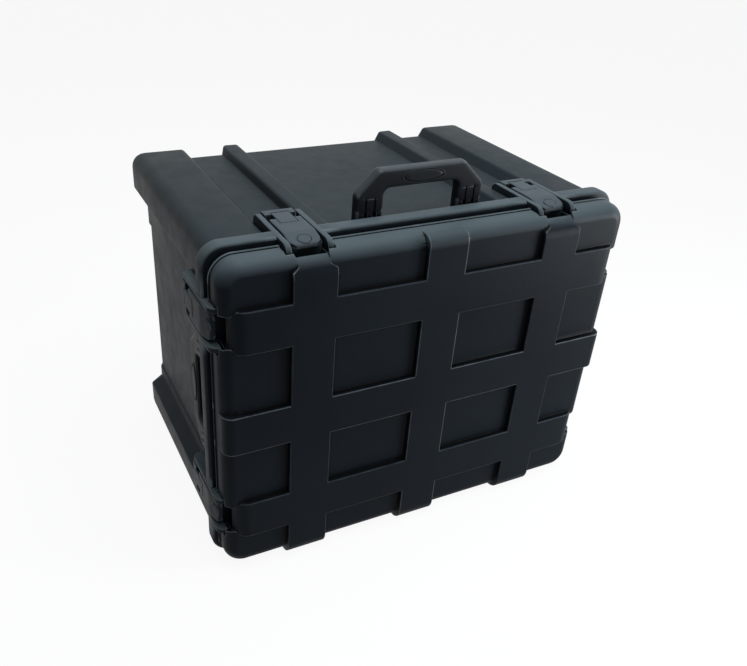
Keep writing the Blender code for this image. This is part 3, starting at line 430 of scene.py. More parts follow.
# %% The bent sheet
LID_DROP = 7.5
LID_CORNER = 30.0
LID_ROUND = 18.0
BAND_RAISE = 8.0
FIELD_X = FLANGE_X - LID_DROP - LID_CORNER
FIELD_Z = FLANGE_Z - LID_DROP - LID_CORNER
FLAT_RUN = LID_CORNER - LID_ROUND
BEND_RUN = FLAT_RUN + LID_ROUND * math.pi / 2
BEND_DEPTH = BAND_RAISE + LID_ROUND
WELL_SLOPE = 0.02


def run_at(depth):
    """Distance travelled over the tray's edge when the sheet has come back by a depth."""
    if depth > BEND_DEPTH:
        return BEND_RUN + depth - BEND_DEPTH
    return FLAT_RUN + LID_ROUND * math.acos((BEND_DEPTH - depth) / LID_ROUND)


def past_edge(a, b):
    """How far a sheet point lies past the tray's flat part, across, up and in all."""
    p = np.maximum(np.abs(a) - FIELD_X, 0)
    q = np.maximum(np.abs(b) - FIELD_Z, 0)
    return p, q, np.maximum(p, q)


def sheet_turn(a, b):
    """Which way the sheet leaves the flat part: zero across, a right angle up, evenly between."""
    p, q, run = past_edge(a, b)
    lean = np.minimum(p, q) / np.maximum(run, 1e-9) * math.pi / 4
    return np.where(p >= q, lean, math.pi / 2 - lean)


def bend_angle(run):
    """How far the sheet has turned from the tray's front to its wall."""
    return np.clip((run - FLAT_RUN) / LID_ROUND, 0, math.pi / 2)


def lid_point(a, b, height, sunk=0.0, floor=0.0, ahead=0.0):
    """Flat inside; past the edge a quarter circle and then a straight wall. Corners share the turn
    between both directions, and the height moves the point along the sheet's own normal. A sunk
    share pulls it to a floor, so far out and no nearer the front than ahead."""
    run = past_edge(a, b)[2]
    turn = sheet_turn(a, b)
    angle = bend_angle(run)
    back = np.maximum(run - BEND_RUN, 0)
    reach = np.minimum(run, FLAT_RUN) + (LID_ROUND + height) * np.sin(angle)
    depth = BEND_DEPTH - (LID_ROUND + height) * np.cos(angle) + back
    sheet = BEND_DEPTH - LID_ROUND * np.cos(angle) + back
    reach = reach + (floor - reach) * sunk
    depth = depth + (np.maximum(sheet, ahead + WELL_SLOPE * (sheet - ahead)) - depth) * sunk
    x = np.clip(a, -FIELD_X, FIELD_X) + np.sign(a) * reach * np.cos(turn)
    z = np.clip(b, -FIELD_Z, FIELD_Z) + np.sign(b) * reach * np.sin(turn)
    return in_case(x, depth, z)


# %% Bands, wells and rim
BAND_HALF = 30.0
BAND_FOOT_DROP = 0.5
BAND_FOOT_RAISE = LID_DROP - BAND_FOOT_DROP
BAND_FADE_ROUND = 15.0
LEAST_ANGLE = 1e-6
THROAT_HALF = 21.5
THROAT_ROUND = 24.0
THROAT_AHEAD = 2.0
THROAT_STEP = 1.3
THROAT_RISE = {"top": -12.2, "side": -17.2}
FLARE_RUNS = (8.5, 16.0)
FLARE_LEAD = -5.5
FIELD_STEP = 16.0
LID_WALL = 4.5
LIP_DROP = -15.5
LIP_STEP = 0.3
WELL_D = 18.0
WELL_HALF = 22.5
WELL_REACH = 11.5
WELL_RUN = {"top": 29.0, "side": 23.65}
WELL_INNER_RUN = {"top": 19.0, "side": 12.8}
NOTCH_HALF = 33.0
NOTCH_REACH = 21.0
NOTCH_RUN = run_at(WELL_D)
NOTCH_INNER_RUN = 18.9
CATCH_D = 35.8
CATCH_RUN = run_at(CATCH_D)
CATCH_BEAD = 1.2
EDGE_D = 36.5
EDGE_RUN = run_at(EDGE_D)
RIM_RUN = run_at(LID_DEPTH)
SOFT_AT = np.array([-1.4, -0.6, -0.2, 0.2, 0.6, 1.4])
SOFT_SHARE = np.array([0.0, 0.06, 0.22, 0.78, 0.94, 1.0])
FADE_AT = np.array([-2.6, 8.0])
SHADE_AT = np.array([-0.3, 0.2, 1.4, 8.0])
SHADE = np.array([0.0, 0.18, 0.13, 0.0])
CUT_AT = np.array([-0.25, 0.25])
BEAD_RUNS = RIM_RUN - np.array([3.4, 3.0, 2.6, 0.5, 0.0])
BEAD_RAISE = np.array([0.0, 1.2, 2.0, 2.0, 1.6])


def soft(inside):
    """Share of a raised form's height at a distance inside its edge, with a soft top and foot."""
    return np.interp(inside, SOFT_AT, SOFT_SHARE)


def cut(inside):
    """Share of a cut's depth at a distance inside its edge."""
    return np.interp(inside, CUT_AT, (0.0, 1.0))


def rounded(inside, radius):
    """Drop of a rounded edge: a quarter circle over the last radius before the edge."""
    inside = np.clip(inside, 0, radius)
    return radius - np.sqrt(np.maximum(radius**2 - (radius - inside) ** 2, 0))


# %% Ends of the bands


def ray_to_round(angle, ahead, rise, radius):
    """Length of a ray from the bend's centre, at an angle from straight ahead, to the far side of a
    circle whose own centre lies so far ahead and so far out."""
    toward = ahead * np.cos(angle) + rise * np.sin(angle)
    return toward + np.sqrt(toward**2 - ahead**2 - rise**2 + radius**2)


def throat_height(run, rise):
    """Height of a band's rounded end over the bent sheet: one circle, met straight ahead on the flat
    part and along a ray from the bend's centre after it."""
    above = np.clip(run - FLAT_RUN - rise, 0, THROAT_ROUND)
    flat = BAND_RAISE - THROAT_ROUND + np.sqrt(THROAT_ROUND**2 - above**2)
    ray = ray_to_round(bend_angle(run), THROAT_AHEAD, rise, THROAT_ROUND)
    return np.where(run < FLAT_RUN, flat, ray - LID_ROUND)


def fading_height(run):
    """Height of a band whose end is cut flush with the tray's wall and rounded at the front: along a
    ray from the bend's centre it is the front plane, then the round, then the wall."""
    angle = np.clip(bend_angle(run), LEAST_ANGLE, math.pi / 2 - LEAST_ANGLE)
    ahead, rise = BEND_DEPTH - BAND_FADE_ROUND, LID_ROUND - BAND_FADE_ROUND
    front, wall = BEND_DEPTH / np.cos(angle), LID_ROUND / np.sin(angle)
    ray = ray_to_round(angle, ahead, rise, BAND_FADE_ROUND)
    ray = np.where(ray * np.cos(angle) < ahead, wall, ray)
    return np.where(front * np.sin(angle) < rise, front, ray) - LID_ROUND


def band_half(run):
    """Half width of a latched band, which narrows to its throat along an S-shaped line."""
    share = np.clip((FLARE_RUNS[1] - run) / (FLARE_RUNS[1] - FLARE_RUNS[0]), 0, 1)
    return THROAT_HALF + (BAND_HALF - THROAT_HALF) * share**2 * (3 - 2 * share)


# %% Every height of the lid


def latch_end(u, run, side, skin):
    """Height, well share and notch share where a band meets a latch. A skin above zero asks for the
    inner side of the wall, where raised forms are narrower and wells wider by that much."""
    u = np.abs(u)
    form = throat_height(run, THROAT_RISE[side])
    if skin:
        well = cut(WELL_HALF + skin - u) * cut(run - WELL_INNER_RUN[side])
        notch = cut(NOTCH_HALF + skin - u) * cut(run - NOTCH_INNER_RUN) * (1 - well)
        raised = BAND_RAISE * soft(BAND_HALF - skin - u) * cut(-run)
        return raised + np.minimum(form, 0) * cut(band_half(run) + skin - u), well, notch
    well = cut(WELL_HALF - u) * cut(run - WELL_RUN[side]) * cut(CATCH_RUN - run)
    notch = cut(NOTCH_HALF - u) * cut(u - WELL_HALF) * cut(run - NOTCH_RUN)
    return form * soft(band_half(run) - u) * (run < NOTCH_RUN), well, notch


def lid_form(a, b, skin=0.0):
    """Height over the bent sheet (the highest band, the rim's bead or a sunk throat), then the share
    of well or notch and how far out their floor lies."""
    run = past_edge(a, b)[2]
    footed = np.interp(run, (FLAT_RUN, BEND_RUN), (BAND_RAISE, BAND_FOOT_RAISE))
    faded = fading_height(run)
    forms = [np.zeros_like(run)]
    well, notch = np.zeros_like(run), np.zeros_like(run)
    bead_top = np.full(run.shape, BEAD_RAISE.max())
    for across, along, pitch, flat in ((a, b, BAND_X, FIELD_Z), (b, a, BAND_Z, FIELD_X)):
        for place in (-pitch, 0.0, pitch):
            u = np.abs(across - place)
            foot = (along < 0) & (across is a)
            plain = np.where(foot, footed, faded) * soft(BAND_HALF - skin - u)
            if place == 0.0:
                forms.append(plain)
                continue
            side = "top" if across is a else "side"
            form, in_well, in_notch = latch_end(u, np.abs(along) - flat, side, skin)
            latched = (along > 0) if across is a else np.full(along.shape, True)
            forms.append(np.where(latched, form, plain))
            well = np.maximum(well, in_well * latched)
            notch = np.maximum(notch, in_notch * latched)
            bead_top = np.where(latched & (u < WELL_HALF), CATCH_BEAD, bead_top)
    height = np.maximum.reduce(forms) + np.minimum.reduce(forms) - skin
    sunk = np.minimum(well + notch, 1)
    floor = (WELL_REACH * well + NOTCH_REACH * notch) / np.maximum(well + notch, 1e-9) - skin
    if not skin:
        bead = np.minimum(np.interp(run, BEAD_RUNS, BEAD_RAISE), bead_top)
        height = np.where(run > BEAD_RUNS[0], np.maximum(height, bead), height)
    return height, sunk, floor


# %% The lid's two skins and its rim


def lid_lines(flat, pitch, side):
    """Grid lines across the lid: close together where bands, wells and bends need them."""
    edges = np.concatenate([BAND_HALF + SOFT_AT, BAND_HALF + FADE_AT])
    latch_marks = [edges, np.arange(THROAT_HALF + SOFT_AT[0], BAND_HALF, THROAT_STEP)]
    for half in (WELL_HALF, NOTCH_HALF, BAND_HALF - LID_WALL, WELL_HALF + LID_WALL, NOTCH_HALF + LID_WALL):
        latch_marks.append(half + CUT_AT)
    latch_marks = both_ways(np.concatenate(latch_marks))
    plain_marks = both_ways(np.concatenate([edges, BAND_HALF - LID_WALL + CUT_AT]))
    runs = [np.linspace(FLARE_RUNS[1], BEND_RUN, 11), np.linspace(FLARE_LEAD, FLARE_RUNS[0], 5)]
    runs += [np.linspace(*FLARE_RUNS, 8), np.array([FLAT_RUN, EDGE_RUN])]
    for run in (0.0, WELL_RUN[side], WELL_INNER_RUN[side], NOTCH_RUN, NOTCH_INNER_RUN, CATCH_RUN):
        runs.append(run + CUT_AT)
    over = both_ways(flat + np.concatenate(runs))
    return grid_lines(FIELD_STEP, over, plain_marks, pitch + latch_marks, latch_marks - pitch)


def sheet_up(a, b):
    """Height of the bent sheet's own normal, which has no part of the bands' steep sides, so up-facing
    walls of the bands get no more dust and painted light from above than the sheet beneath them.
    """
    angle = bend_angle(past_edge(a, b)[2])
    return (np.sign(b) * np.sin(angle) * np.sin(sheet_turn(a, b))).ravel()


def beside_bands(a, b):
    """Shade beside the bands: darkest on a band's wall and at its foot, fading over the next few
    millimetres of the field, and gone where the sheet bends."""
    gaps = []
    for across, pitch in ((a, BAND_X), (b, BAND_Z)):
        nearest = np.minimum.reduce([np.abs(across - place) for place in (-pitch, 0.0, pitch)])
        gaps.append(nearest - BAND_HALF)
    shade = np.interp(np.minimum(*gaps), SHADE_AT, SHADE)
    return (shade * np.interp(past_edge(a, b)[2], (0.0, FLAT_RUN), (1.0, 0.0))).ravel()


def lid_shell():
    """Outer and inner skin on the same lines, closed by loops that make the rim and its inner lip,
    and for each point how far it faces up and how far it lies in shade."""
    lines = lid_lines(FIELD_X, BAND_X, "side"), lid_lines(FIELD_Z, BAND_Z, "top")
    a, b = np.meshgrid(*lines, indexing="ij")
    rows, columns = a.shape
    number = np.arange(rows * columns).reshape(rows, columns)
    loop = np.concatenate([number[:-1, 0], number[-1, :-1], number[:0:-1, -1], number[0, :0:-1]])
    edge_a, edge_b = a.ravel()[loop], b.ravel()[loop]
    inner, sunk, floor = lid_form(a, b, LID_WALL)
    within = inner + (floor - LID_CORNER - inner) * sunk
    lip = np.minimum(LIP_DROP, within.ravel()[loop] - LIP_STEP)
    height, in_well, well_floor = lid_form(a, b)
    points = [lid_point(a, b, height, in_well, well_floor, WELL_D)]
    # Wells get none of the up-facing tone of dust and painted light from above, so they stay dark.
    up = [sheet_up(a, b) * (1 - in_well.ravel())]
    for run in BEAD_RUNS:
        loop_a = np.clip(edge_a, -FIELD_X, FIELD_X)
        loop_b = np.clip(edge_b, -FIELD_Z, FIELD_Z)
        loop_a = loop_a + (edge_a - loop_a) * run / EDGE_RUN
        loop_b = loop_b + (edge_b - loop_b) * run / EDGE_RUN
        points.append(lid_point(loop_a, loop_b, *lid_form(loop_a, loop_b), WELL_D))
        up.append(sheet_up(loop_a, loop_b))
    points.append(lid_point(loop_a, loop_b, lip))
    points.append(lid_point(edge_a, edge_b, lip))
    points.append(lid_point(a, b, inner, sunk, floor, WELL_D - LID_WALL))
    up.append(np.zeros(2 * len(loop) + a.size))
    rings = len(BEAD_RUNS) + 2
    start = rows * columns
    between = start + np.arange(rings * len(loop)).reshape(rings, -1)
    ladder = np.concatenate([loop[None], between, loop[None] + start + rings * len(loop)])
    after = np.roll(ladder, -1, axis=1)
    strips = np.stack([after[:-1], ladder[:-1], ladder[1:], after[1:]], axis=-1).reshape(-1, 4)
    skin = grid_faces(rows, columns)
    faces = [skin, strips, skin[:, ::-1] + start + rings * len(loop)]
    up = np.concatenate(up)
    shade = np.append(beside_bands(a, b), np.zeros(len(up) - a.size))
    return facing_out(np.concatenate(points), faces), up, shade


lid_skins, lid_up, lid_shade = lid_shell()
lid_masks = {"up": lid_up, "shade": lid_shade}
lid = make_piece(
    "lid_moulding", lid_skins, "lid", "shell_plastic", SHELL_PLASTIC, ["lid_shell"], **lid_masks
)
print("lid triangles", 2 * len(lid.data.polygons))

# %% [markdown]
# ## The shell
# The case behind the flange is one section carried from front to back: shoulders along the top edges,
# rails along the bottom ones, two ribs, and sunk panels. Each corner of the section becomes an arc. At
# the back the sunk floors roll over in a wide curve, while ribs and shoulders run on almost square, as
# they do on the real moulding, and the section closes on a flat wall.

# %% Outlines with round corners
LEAST_ROUND = 0.6


def unit(vectors):
    """Vectors brought to length one."""
    return vectors / np.linalg.norm(vectors, axis=-1, keepdims=True)


def round_corners(corners, steps):
    """An outline of corners (a, b, radius) as arcs that touch both edges of their corner."""
    places, radius = corners[:, :2], corners[:, 2]
    back = unit(np.roll(places, 1, axis=0) - places)
    ahead = unit(np.roll(places, -1, axis=0) - places)
    half = np.arccos(np.clip((back * ahead).sum(1), -1, 1)) / 2
    centre = places + unit(back + ahead) * (radius / np.sin(half))[:, None]
    start = places + back * (radius / np.tan(half))[:, None] - centre
    end = places + ahead * (radius / np.tan(half))[:, None] - centre
    first = np.arctan2(start[:, 1], start[:, 0])
    sweep = (np.arctan2(end[:, 1], end[:, 0]) - first + math.pi) % (2 * math.pi) - math.pi
    angle = first[:, None] + sweep[:, None] * np.linspace(0, 1, steps)
    arcs = np.stack([np.cos(angle), np.sin(angle)], axis=-1) * radius[:, None, None]
    return (centre[:, None] + arcs).reshape(-1, 2)


def edge_ways(outline):
    """Directions of the edge before and the edge after every point of a closed outline."""
    before = unit(outline - np.roll(outline, 1, axis=0))
    return before, np.roll(before, -1, axis=0)


def moved_points(outline, depth):
    """Every point of a closed anticlockwise outline moved inward, both its edges by the same depth."""
    left, right = (np.stack([-way[:, 1], way[:, 0]], axis=-1) for way in edge_ways(outline))
    return outline + (left + right) * (depth / (1 + (left * right).sum(1)))[:, None]


def moved_in(corners, depth):
    """Corners of an anticlockwise outline moved inward; outer arcs tighten and inner ones widen."""
    before, after = edge_ways(corners[:, :2])
    bulge = np.sign(before[:, 0] * after[:, 1] - before[:, 1] * after[:, 0]) * depth
    radius = np.maximum(corners[:, 2] - bulge, LEAST_ROUND)
    return np.column_stack([moved_points(corners[:, :2], depth), radius])


# %% The section of the shell
SIDE = FLANGE_X - 11.0
STRIP = FLANGE_X - 28.0
PANEL = FLANGE_X - 31.0
TOP = FLANGE_Z - 8.5
FLOOR = FLANGE_Z - 21.5
FOOT = MIDDLE
RIB_MIDDLE = 143.0
RIB_HALF = 11.25
RIB_RUN_INNER = 9.5
RIB_RUN_OUTER = 3.5
SHOULDER_IN = SIDE - 81.0
SHOULDER_RUN = 11.0
SHOULDER_LOW = TOP - 53.0
STRIP_HIGH = SHOULDER_LOW - 30.0
RAIL_HIGH = 58.0 - FOOT
STRIP_LOW = RAIL_HIGH + 16.0
PANEL_LOW = STRIP_LOW + 25.0
PANEL_HIGH = STRIP_HIGH - 35.0
PANEL_RUN = 5.0
CORNER_STEPS = 6
SHELL_WALL = 5.0
SHELL_PLACES = (62.0, 95.0, 200.0, 320.0)
PROUD_BACK = 6.0
PROUD_LEFT = 0.5
DEEP_BACK = 13.0
NEAR_FLOOR = 2.0
BACK_INSET = 25.0
BACK_SPILL = 0.15
BACK_RIM = 0.05
BACK_CORE = 0.4


def section_corners():
    """Corners (across, up, radius, deep) anticlockwise from the bottom; deep ones lie in a recess."""
    ribs = [
        (RIB_MIDDLE - RIB_HALF - RIB_RUN_INNER, FLOOR, 3.0, 1),
        (RIB_MIDDLE - RIB_HALF, TOP, 6.0, 0),
        (RIB_MIDDLE + RIB_HALF, TOP, 5.0, 0),
        (RIB_MIDDLE + RIB_HALF + RIB_RUN_OUTER, FLOOR, 2.0, 1),
        (SHOULDER_IN - SHOULDER_RUN, FLOOR, 3.0, 1),
    ]
    right = [(x, -z, radius, deep) for x, z, radius, deep in ribs]
    right += [
        (SHOULDER_IN, -FOOT, 6.0, 0),
        (SIDE, -FOOT, 24.0, 0),
        (SIDE, RAIL_HIGH, 5.0, 0),
        (STRIP, STRIP_LOW, 4.0, 1),
        (STRIP, PANEL_LOW - PANEL_RUN, 2.0, 1),
        (PANEL, PANEL_LOW, 2.0, 1),
        (PANEL, PANEL_HIGH, 2.0, 1),
        (STRIP, PANEL_HIGH + PANEL_RUN, 2.0, 1),
        (STRIP, STRIP_HIGH, 5.0, 1),
        (SIDE, SHOULDER_LOW, 6.0, 0),
        (SIDE, TOP, 20.0, 0),
        (SHOULDER_IN, TOP, 8.0, 0),
    ]
    right += ribs[::-1]
    left = [(-x, z, radius, deep) for x, z, radius, deep in right[::-1]]
    return np.array(right + left)


# %% From front to back


def drawn_in(outline, share):
    """An outline moved a share of the way to a rectangle, each side straight in, so that the flat wall
    it closes never folds over itself; beyond the rectangle a small part of the way out stays."""
    size = np.abs(outline)
    inside = np.array([PANEL, FLOOR]) - BACK_INSET
    target = np.where(size > inside, inside + BACK_SPILL * (size - inside), size)
    return np.sign(outline) * (size + (target - size) * share)


def back_wall(outline):
    """Rings that close a flat back wall, from just inside its edge to near its middle."""
    drawn = drawn_in(outline, 1.0)
    return [drawn_in(outline, BACK_RIM), drawn, drawn * BACK_CORE]


def shell_rings():
    """Rings from the middle of the inside back wall forward, round the mouth, and out to the back."""
    corners = section_corners()
    outer = round_corners(corners[:, :3], CORNER_STEPS)
    inner = round_corners(moved_in(corners[:, :3], SHELL_WALL), CORNER_STEPS)
    deep = np.repeat(corners[:, 3] > 0, CORNER_STEPS)[:, None]
    ahead = np.roll(outer, -1, axis=0) - np.roll(outer, 1, axis=0)
    normal = unit(np.stack([ahead[:, 1], -ahead[:, 0]], axis=-1))
    upright = np.abs(outer[:, 1]) > FLOOR - NEAR_FLOOR
    axis = np.where(upright[:, None], outer * (0, 1), outer * (1, 0))
    proud = np.repeat(np.minimum(PROUD_BACK, corners[:, 2] - PROUD_LEFT), CORNER_STEPS)[:, None]
    push = -np.where(deep, unit(axis) * DEEP_BACK, normal * proud)
    reach = np.linalg.norm(push, axis=1)
    count = len(SHELL_PLACES)
    rings = back_wall(inner)[::-1] + [inner] + [inner] * count + [outer] * count
    places = (CASE_DEPTH - SHELL_WALL,) * 4 + SHELL_PLACES[::-1] + SHELL_PLACES
    depths = [np.full(len(outer), place) for place in places]
    for angle in np.linspace(0, math.pi / 2, 7):
        rings.append(outer + push * (1 - math.cos(angle)))
        depths.append(CASE_DEPTH - reach * (1 - math.sin(angle)))
    rings += back_wall(outer + push)
    depths += [np.full(len(outer), CASE_DEPTH)] * 3
    rings, depths = np.stack(rings), np.stack(depths)
    return in_case(rings[..., 0], depths, rings[..., 1]).reshape(*depths.shape, 3)


# The shell takes a quarter of the up-facing tone of dust and painted light from above.
SHELL_DUST_AND_TOP_LIGHT = 0.25
shell = tube(shell_rings())
make_piece("case_shell", shell, "case", "shell_plastic", SHELL_PLASTIC, ["case_body"], dust_and_top_light=SHELL_DUST_AND_TOP_LIGHT)

# %% [markdown]
# ## The flange
# The flange is the thick ring that the lid closes on. It is a profile carried round a rounded
# rectangle: the mouth, the flat front for the seal, a soft outer edge, the flat land and the long
# slope down to the shell. Where a latch or a handle foot sits, the profile is pressed lower.

# %% The flange ring
FLANGE_D = 50.0
FLANGE_CORNER = 30.0
FLANGE_ROUND = 4.5
FLANGE_STEP = 60.0
LAND_END = 70.0
LAND_ROUND = 6.0
SLOPE_MIDDLE = 82.0
FLANGE_REAR = 90.0
REAR_LIFT = 2.0
MOUTH = np.array([277.0, 218.0])
MOUTH_CORNER = 12.0
MOUTH_ROUND = 2.0
MOUTH_SHARE = 0.3
MOUTH_LIP = 3.0
RING_INSIDE = -24.0
GUARD_IN = 23.5
SLOT_FLOOR = -7.5
FOOT_MIDDLE = 76.5
FOOT_HALF = 21.0
POCKET_DEPTH = 75.5
POCKET_EDGE = 0.2
POCKET_LIFT = 0.3
SIDE_POCKET = PANEL - FLANGE_X + POCKET_LIFT
POCKET_FLOOR = {"top": FLOOR - FLANGE_Z + POCKET_LIFT, "left": SIDE_POCKET, "right": SIDE_POCKET}


def flange_side(side, half):
    """Lines along one side of the flange, with the share of latch slot and of foot pocket on each."""
    marks = [np.array([-half, half])]
    slots = [along for where, along in LATCHES.values() if where == side]
    marks += [along + both_ways(GUARD_IN + CUT_AT) for along in slots]
    feet = [-FOOT_MIDDLE, FOOT_MIDDLE] if side in POCKET_FLOOR else []
    marks += [foot + both_ways(FOOT_HALF + CUT_AT) for foot in feet]
    lines = grid_lines(FLANGE_STEP, *marks)
    slot = sum([cut(GUARD_IN - np.abs(lines - along)) for along in slots], np.zeros_like(lines))
    foot = sum([cut(FOOT_HALF - np.abs(lines - place)) for place in feet], np.zeros_like(lines))
    return lines, slot, foot


def flange_path():
    """Anchor points, outward directions and pressed shares, anticlockwise from the right side."""
    far = np.array([FLANGE_X, FLANGE_Z]) - FLANGE_CORNER
    turns = {"right": 0, "top": 1, "left": 2, "bottom": 3}
    anchors, ways, slots, feet, floors = [], [], [], [], []
    for side, quarter in turns.items():
        lines, slot, foot = flange_side(side, far[1 - quarter % 2])
        if quarter in (1, 2):
            lines, slot, foot = lines[::-1], slot[::-1], foot[::-1]
        way = np.array([math.cos(quarter * math.pi / 2), math.sin(quarter * math.pi / 2)]).round()
        across = np.array([0, 1]) if quarter % 2 == 0 else np.array([1, 0])
        bend = quarter * math.pi / 2 + np.linspace(0, math.pi / 2, 10)[1:-1]
        anchors.append(way * far + lines[:, None] * across)
        anchors.append(np.tile(anchors[-1][-1], (len(bend), 1)))
        ways.append(np.tile(way, (len(lines), 1)))
        ways.append(np.stack([np.cos(bend), np.sin(bend)], axis=-1))
        still = np.zeros(len(bend))
        slots += [slot, still]
        feet += [foot, still]
        floors.append(np.full(len(lines) + len(bend), POCKET_FLOOR.get(side, 0.0)))
    return [np.concatenate(group) for group in (anchors, ways, slots, feet, floors)]


# %% The profile of the flange


def flange_profile():
    """Rows of (from the mouth?, outward offset, depth) round the profile, starting inside the mouth."""
    quarter = np.linspace(0, math.pi / 2, 6)
    eighth = np.linspace(0, math.pi / 4, 5)
    land = LAND_END - LAND_ROUND * math.tan(math.pi / 8)
    soft_mouth = MOUTH_SHARE * MOUTH_ROUND
    rows = [(1, 0.0, FLANGE_REAR), (1, 0.0, FLANGE_D + MOUTH_ROUND)]
    rows += [(1, soft_mouth, FLANGE_D + soft_mouth), (1, MOUTH_ROUND, FLANGE_D), (0, RING_INSIDE, FLANGE_D)]
    rise, drop = FLANGE_ROUND * (np.sin(quarter) - 1), FLANGE_ROUND * (1 - np.cos(quarter))
    rows += [(0, outward, FLANGE_D + back) for outward, back in zip(rise, drop)]
    rows += [(0, LAND_ROUND * (math.cos(t) - 1), land + LAND_ROUND * math.sin(t)) for t in eighth]
    slope = (POCKET_DEPTH - POCKET_EDGE, POCKET_DEPTH + POCKET_EDGE, SLOPE_MIDDLE)
    rows += [(0, LAND_END - depth, depth) for depth in slope]
    rows += [(0, LAND_END - FLANGE_REAR, FLANGE_REAR), (0, RING_INSIDE, FLANGE_REAR + REAR_LIFT / 2)]
    rows += [(1, MOUTH_LIP, FLANGE_REAR + REAR_LIFT), (1, 0.0, FLANGE_REAR + REAR_LIFT)]
    return np.array(rows)


def flange_shell():
    """The profile carried round the path; latch slots and foot pockets press its outer rows down."""
    anchors, ways, slots, feet, floors = flange_path()
    far = np.array([FLANGE_X, FLANGE_Z]) - FLANGE_CORNER
    rows = flange_profile()
    inward, offset, depth = (rows[:, column][:, None] for column in range(3))
    offset = offset + slots * np.minimum(SLOT_FLOOR - offset, 0) * (inward == 0)
    behind = (inward == 0) * (depth > POCKET_DEPTH)
    offset = offset + feet * np.minimum(floors - offset, 0) * behind
    outer = anchors + ways * (FLANGE_CORNER + offset)[..., None]
    mouth = anchors * (MOUTH - MOUTH_CORNER) / far + ways * (MOUTH_CORNER + offset)[..., None]
    flat = np.where(inward[..., None] > 0, mouth, outer)
    points = in_case(flat[..., 0], depth, flat[..., 1])
    return facing_out(points, [grid_faces(len(rows), len(ways), True, True)])


make_piece("case_flange", flange_shell(), "case", "shell_plastic", SHELL_PLASTIC)

# %% [markdown]
# ## Guard walls and hinge lugs
# A wall stands on each side of every latch, and its front curls down over the lid like a horn. The
# handles turn on lugs in slots of their feet. Both are flat plates: an outline carried through a
# thickness, drawn in a little at both faces so that no edge is knife-sharp.

# %% Plates with soft edges


def plate(outline, low, high, soft_edge, steps=4):
    """Rings (a, b, across) from one face to the other, with a quarter circle at each rim."""
    angle = np.linspace(0, math.pi / 2, steps)
    inset = soft_edge * (1 - np.sin(angle))
    step = soft_edge * (1 - np.cos(angle))
    across = np.concatenate([low + step, high - step[::-1]])
    rings = [moved_points(outline, depth) for depth in np.concatenate([inset, inset[::-1]])]
    return np.stack(rings), across


def plate_shell(outline, low, high, soft_edge, place):
    """A plate as a closed shell; place turns (a, b, across) arrays into points of the case."""
    rings, across = plate(outline, low, high, soft_edge)
    points = place(rings[..., 0], rings[..., 1], across[:, None])
    count, around = rings.shape[:2]
    ring = np.arange(around)
    caps = np.stack([ring, (count - 1) * around + ring[::-1]])
    return facing_out(points, [grid_faces(count, around, close_columns=True), caps])


def side_plates(side, along, corners, steps, places, width, soft_edge):
    """Upright plates of one outline of corners (depth, n, radius) at places along a side of the flange."""
    outline = round_corners(np.array(corners), steps)

    def stand(depth, n, u):
        """The plate's own directions, with its thickness along the side."""
        return at_side(side, along, u, depth, n)

    return [plate_shell(outline, u - width / 2, u + width / 2, soft_edge, stand) for u in places]


# %% Guard walls
GUARD_WIDTH = 7.5
GUARD_SOFT = 1.3
GUARD_TOP = 0.5
GUARD_REAR = 134.0
HORN_D = 20.0
HORN_N = -14.5
ROOT_DROP = 2.0


def guard_shells(side, along):
    """The two guard walls of one latch."""
    root = POCKET_FLOOR[side] - ROOT_DROP
    corners = [
        (HORN_D, HORN_N, 2.6),
        (FLANGE_D + FLANGE_ROUND, HORN_N, 2.0),
        (FLANGE_D + FLANGE_ROUND, root, 0.5),
        (GUARD_REAR, root, 0.5),
        (GUARD_REAR, GUARD_TOP, 10.0),
        (HORN_D + 1.0, GUARD_TOP, 12.0),
    ]
    places = -both_ways(GUARD_IN + GUARD_WIDTH / 2)
    return side_plates(side, along, corners, 7, places, GUARD_WIDTH, GUARD_SOFT)


guards = joined([shell for side, along in LATCHES.values() for shell in guard_shells(side, along)])
make_piece("latch_guard_walls", guards, "case", "shell_plastic", SHELL_PLASTIC)

# %% Hinge lugs
HINGE_D = 90.0
HINGE_N = {"top": -8.0, "left": -22.0, "right": -22.0}
HANDLE_HALF = 96.0
FOOT_WIDTH = 39.0
FOOT_IN = HANDLE_HALF - FOOT_WIDTH
LUG_WIDTH = 5.0
LUG_RADIUS = 6.0
LUG_ROUND = LUG_RADIUS * 0.97
LUG_FOOT = 0.3
LUG_SOFT = 0.5


def lug_shells(side):
    """Four round-topped lugs, two for each foot of a handle."""
    root = POCKET_FLOOR[side] - ROOT_DROP
    top = HINGE_N[side] + LUG_RADIUS
    corners = [
        (HINGE_D - LUG_RADIUS, root, LUG_FOOT),
        (HINGE_D + LUG_RADIUS, root, LUG_FOOT),
        (HINGE_D + LUG_RADIUS, top, LUG_ROUND),
        (HINGE_D - LUG_RADIUS, top, LUG_ROUND),
    ]
    places = both_ways(FOOT_IN + FOOT_WIDTH * np.array([1, 2]) / 3)
    return side_plates(side, 0.0, corners, 8, places, LUG_WIDTH, LUG_SOFT)


lugs = joined([shell for side in HINGE_N for shell in lug_shells(side)])
make_piece("handle_hinge_lugs", lugs, "case", "shell_plastic", SHELL_PLASTIC)

# %% [markdown]
# ## Latches and triggers
# A latch is a thick plate with a sloping nose, two notches and a pocket for its trigger. Such a plate
# is two height maps over one plan, an upper and a lower one, with walls wherever the plan ends. The
# heights carry the rounded rims, so no bevel is needed. The oval on the nose is left plain.

# %% Relief plates


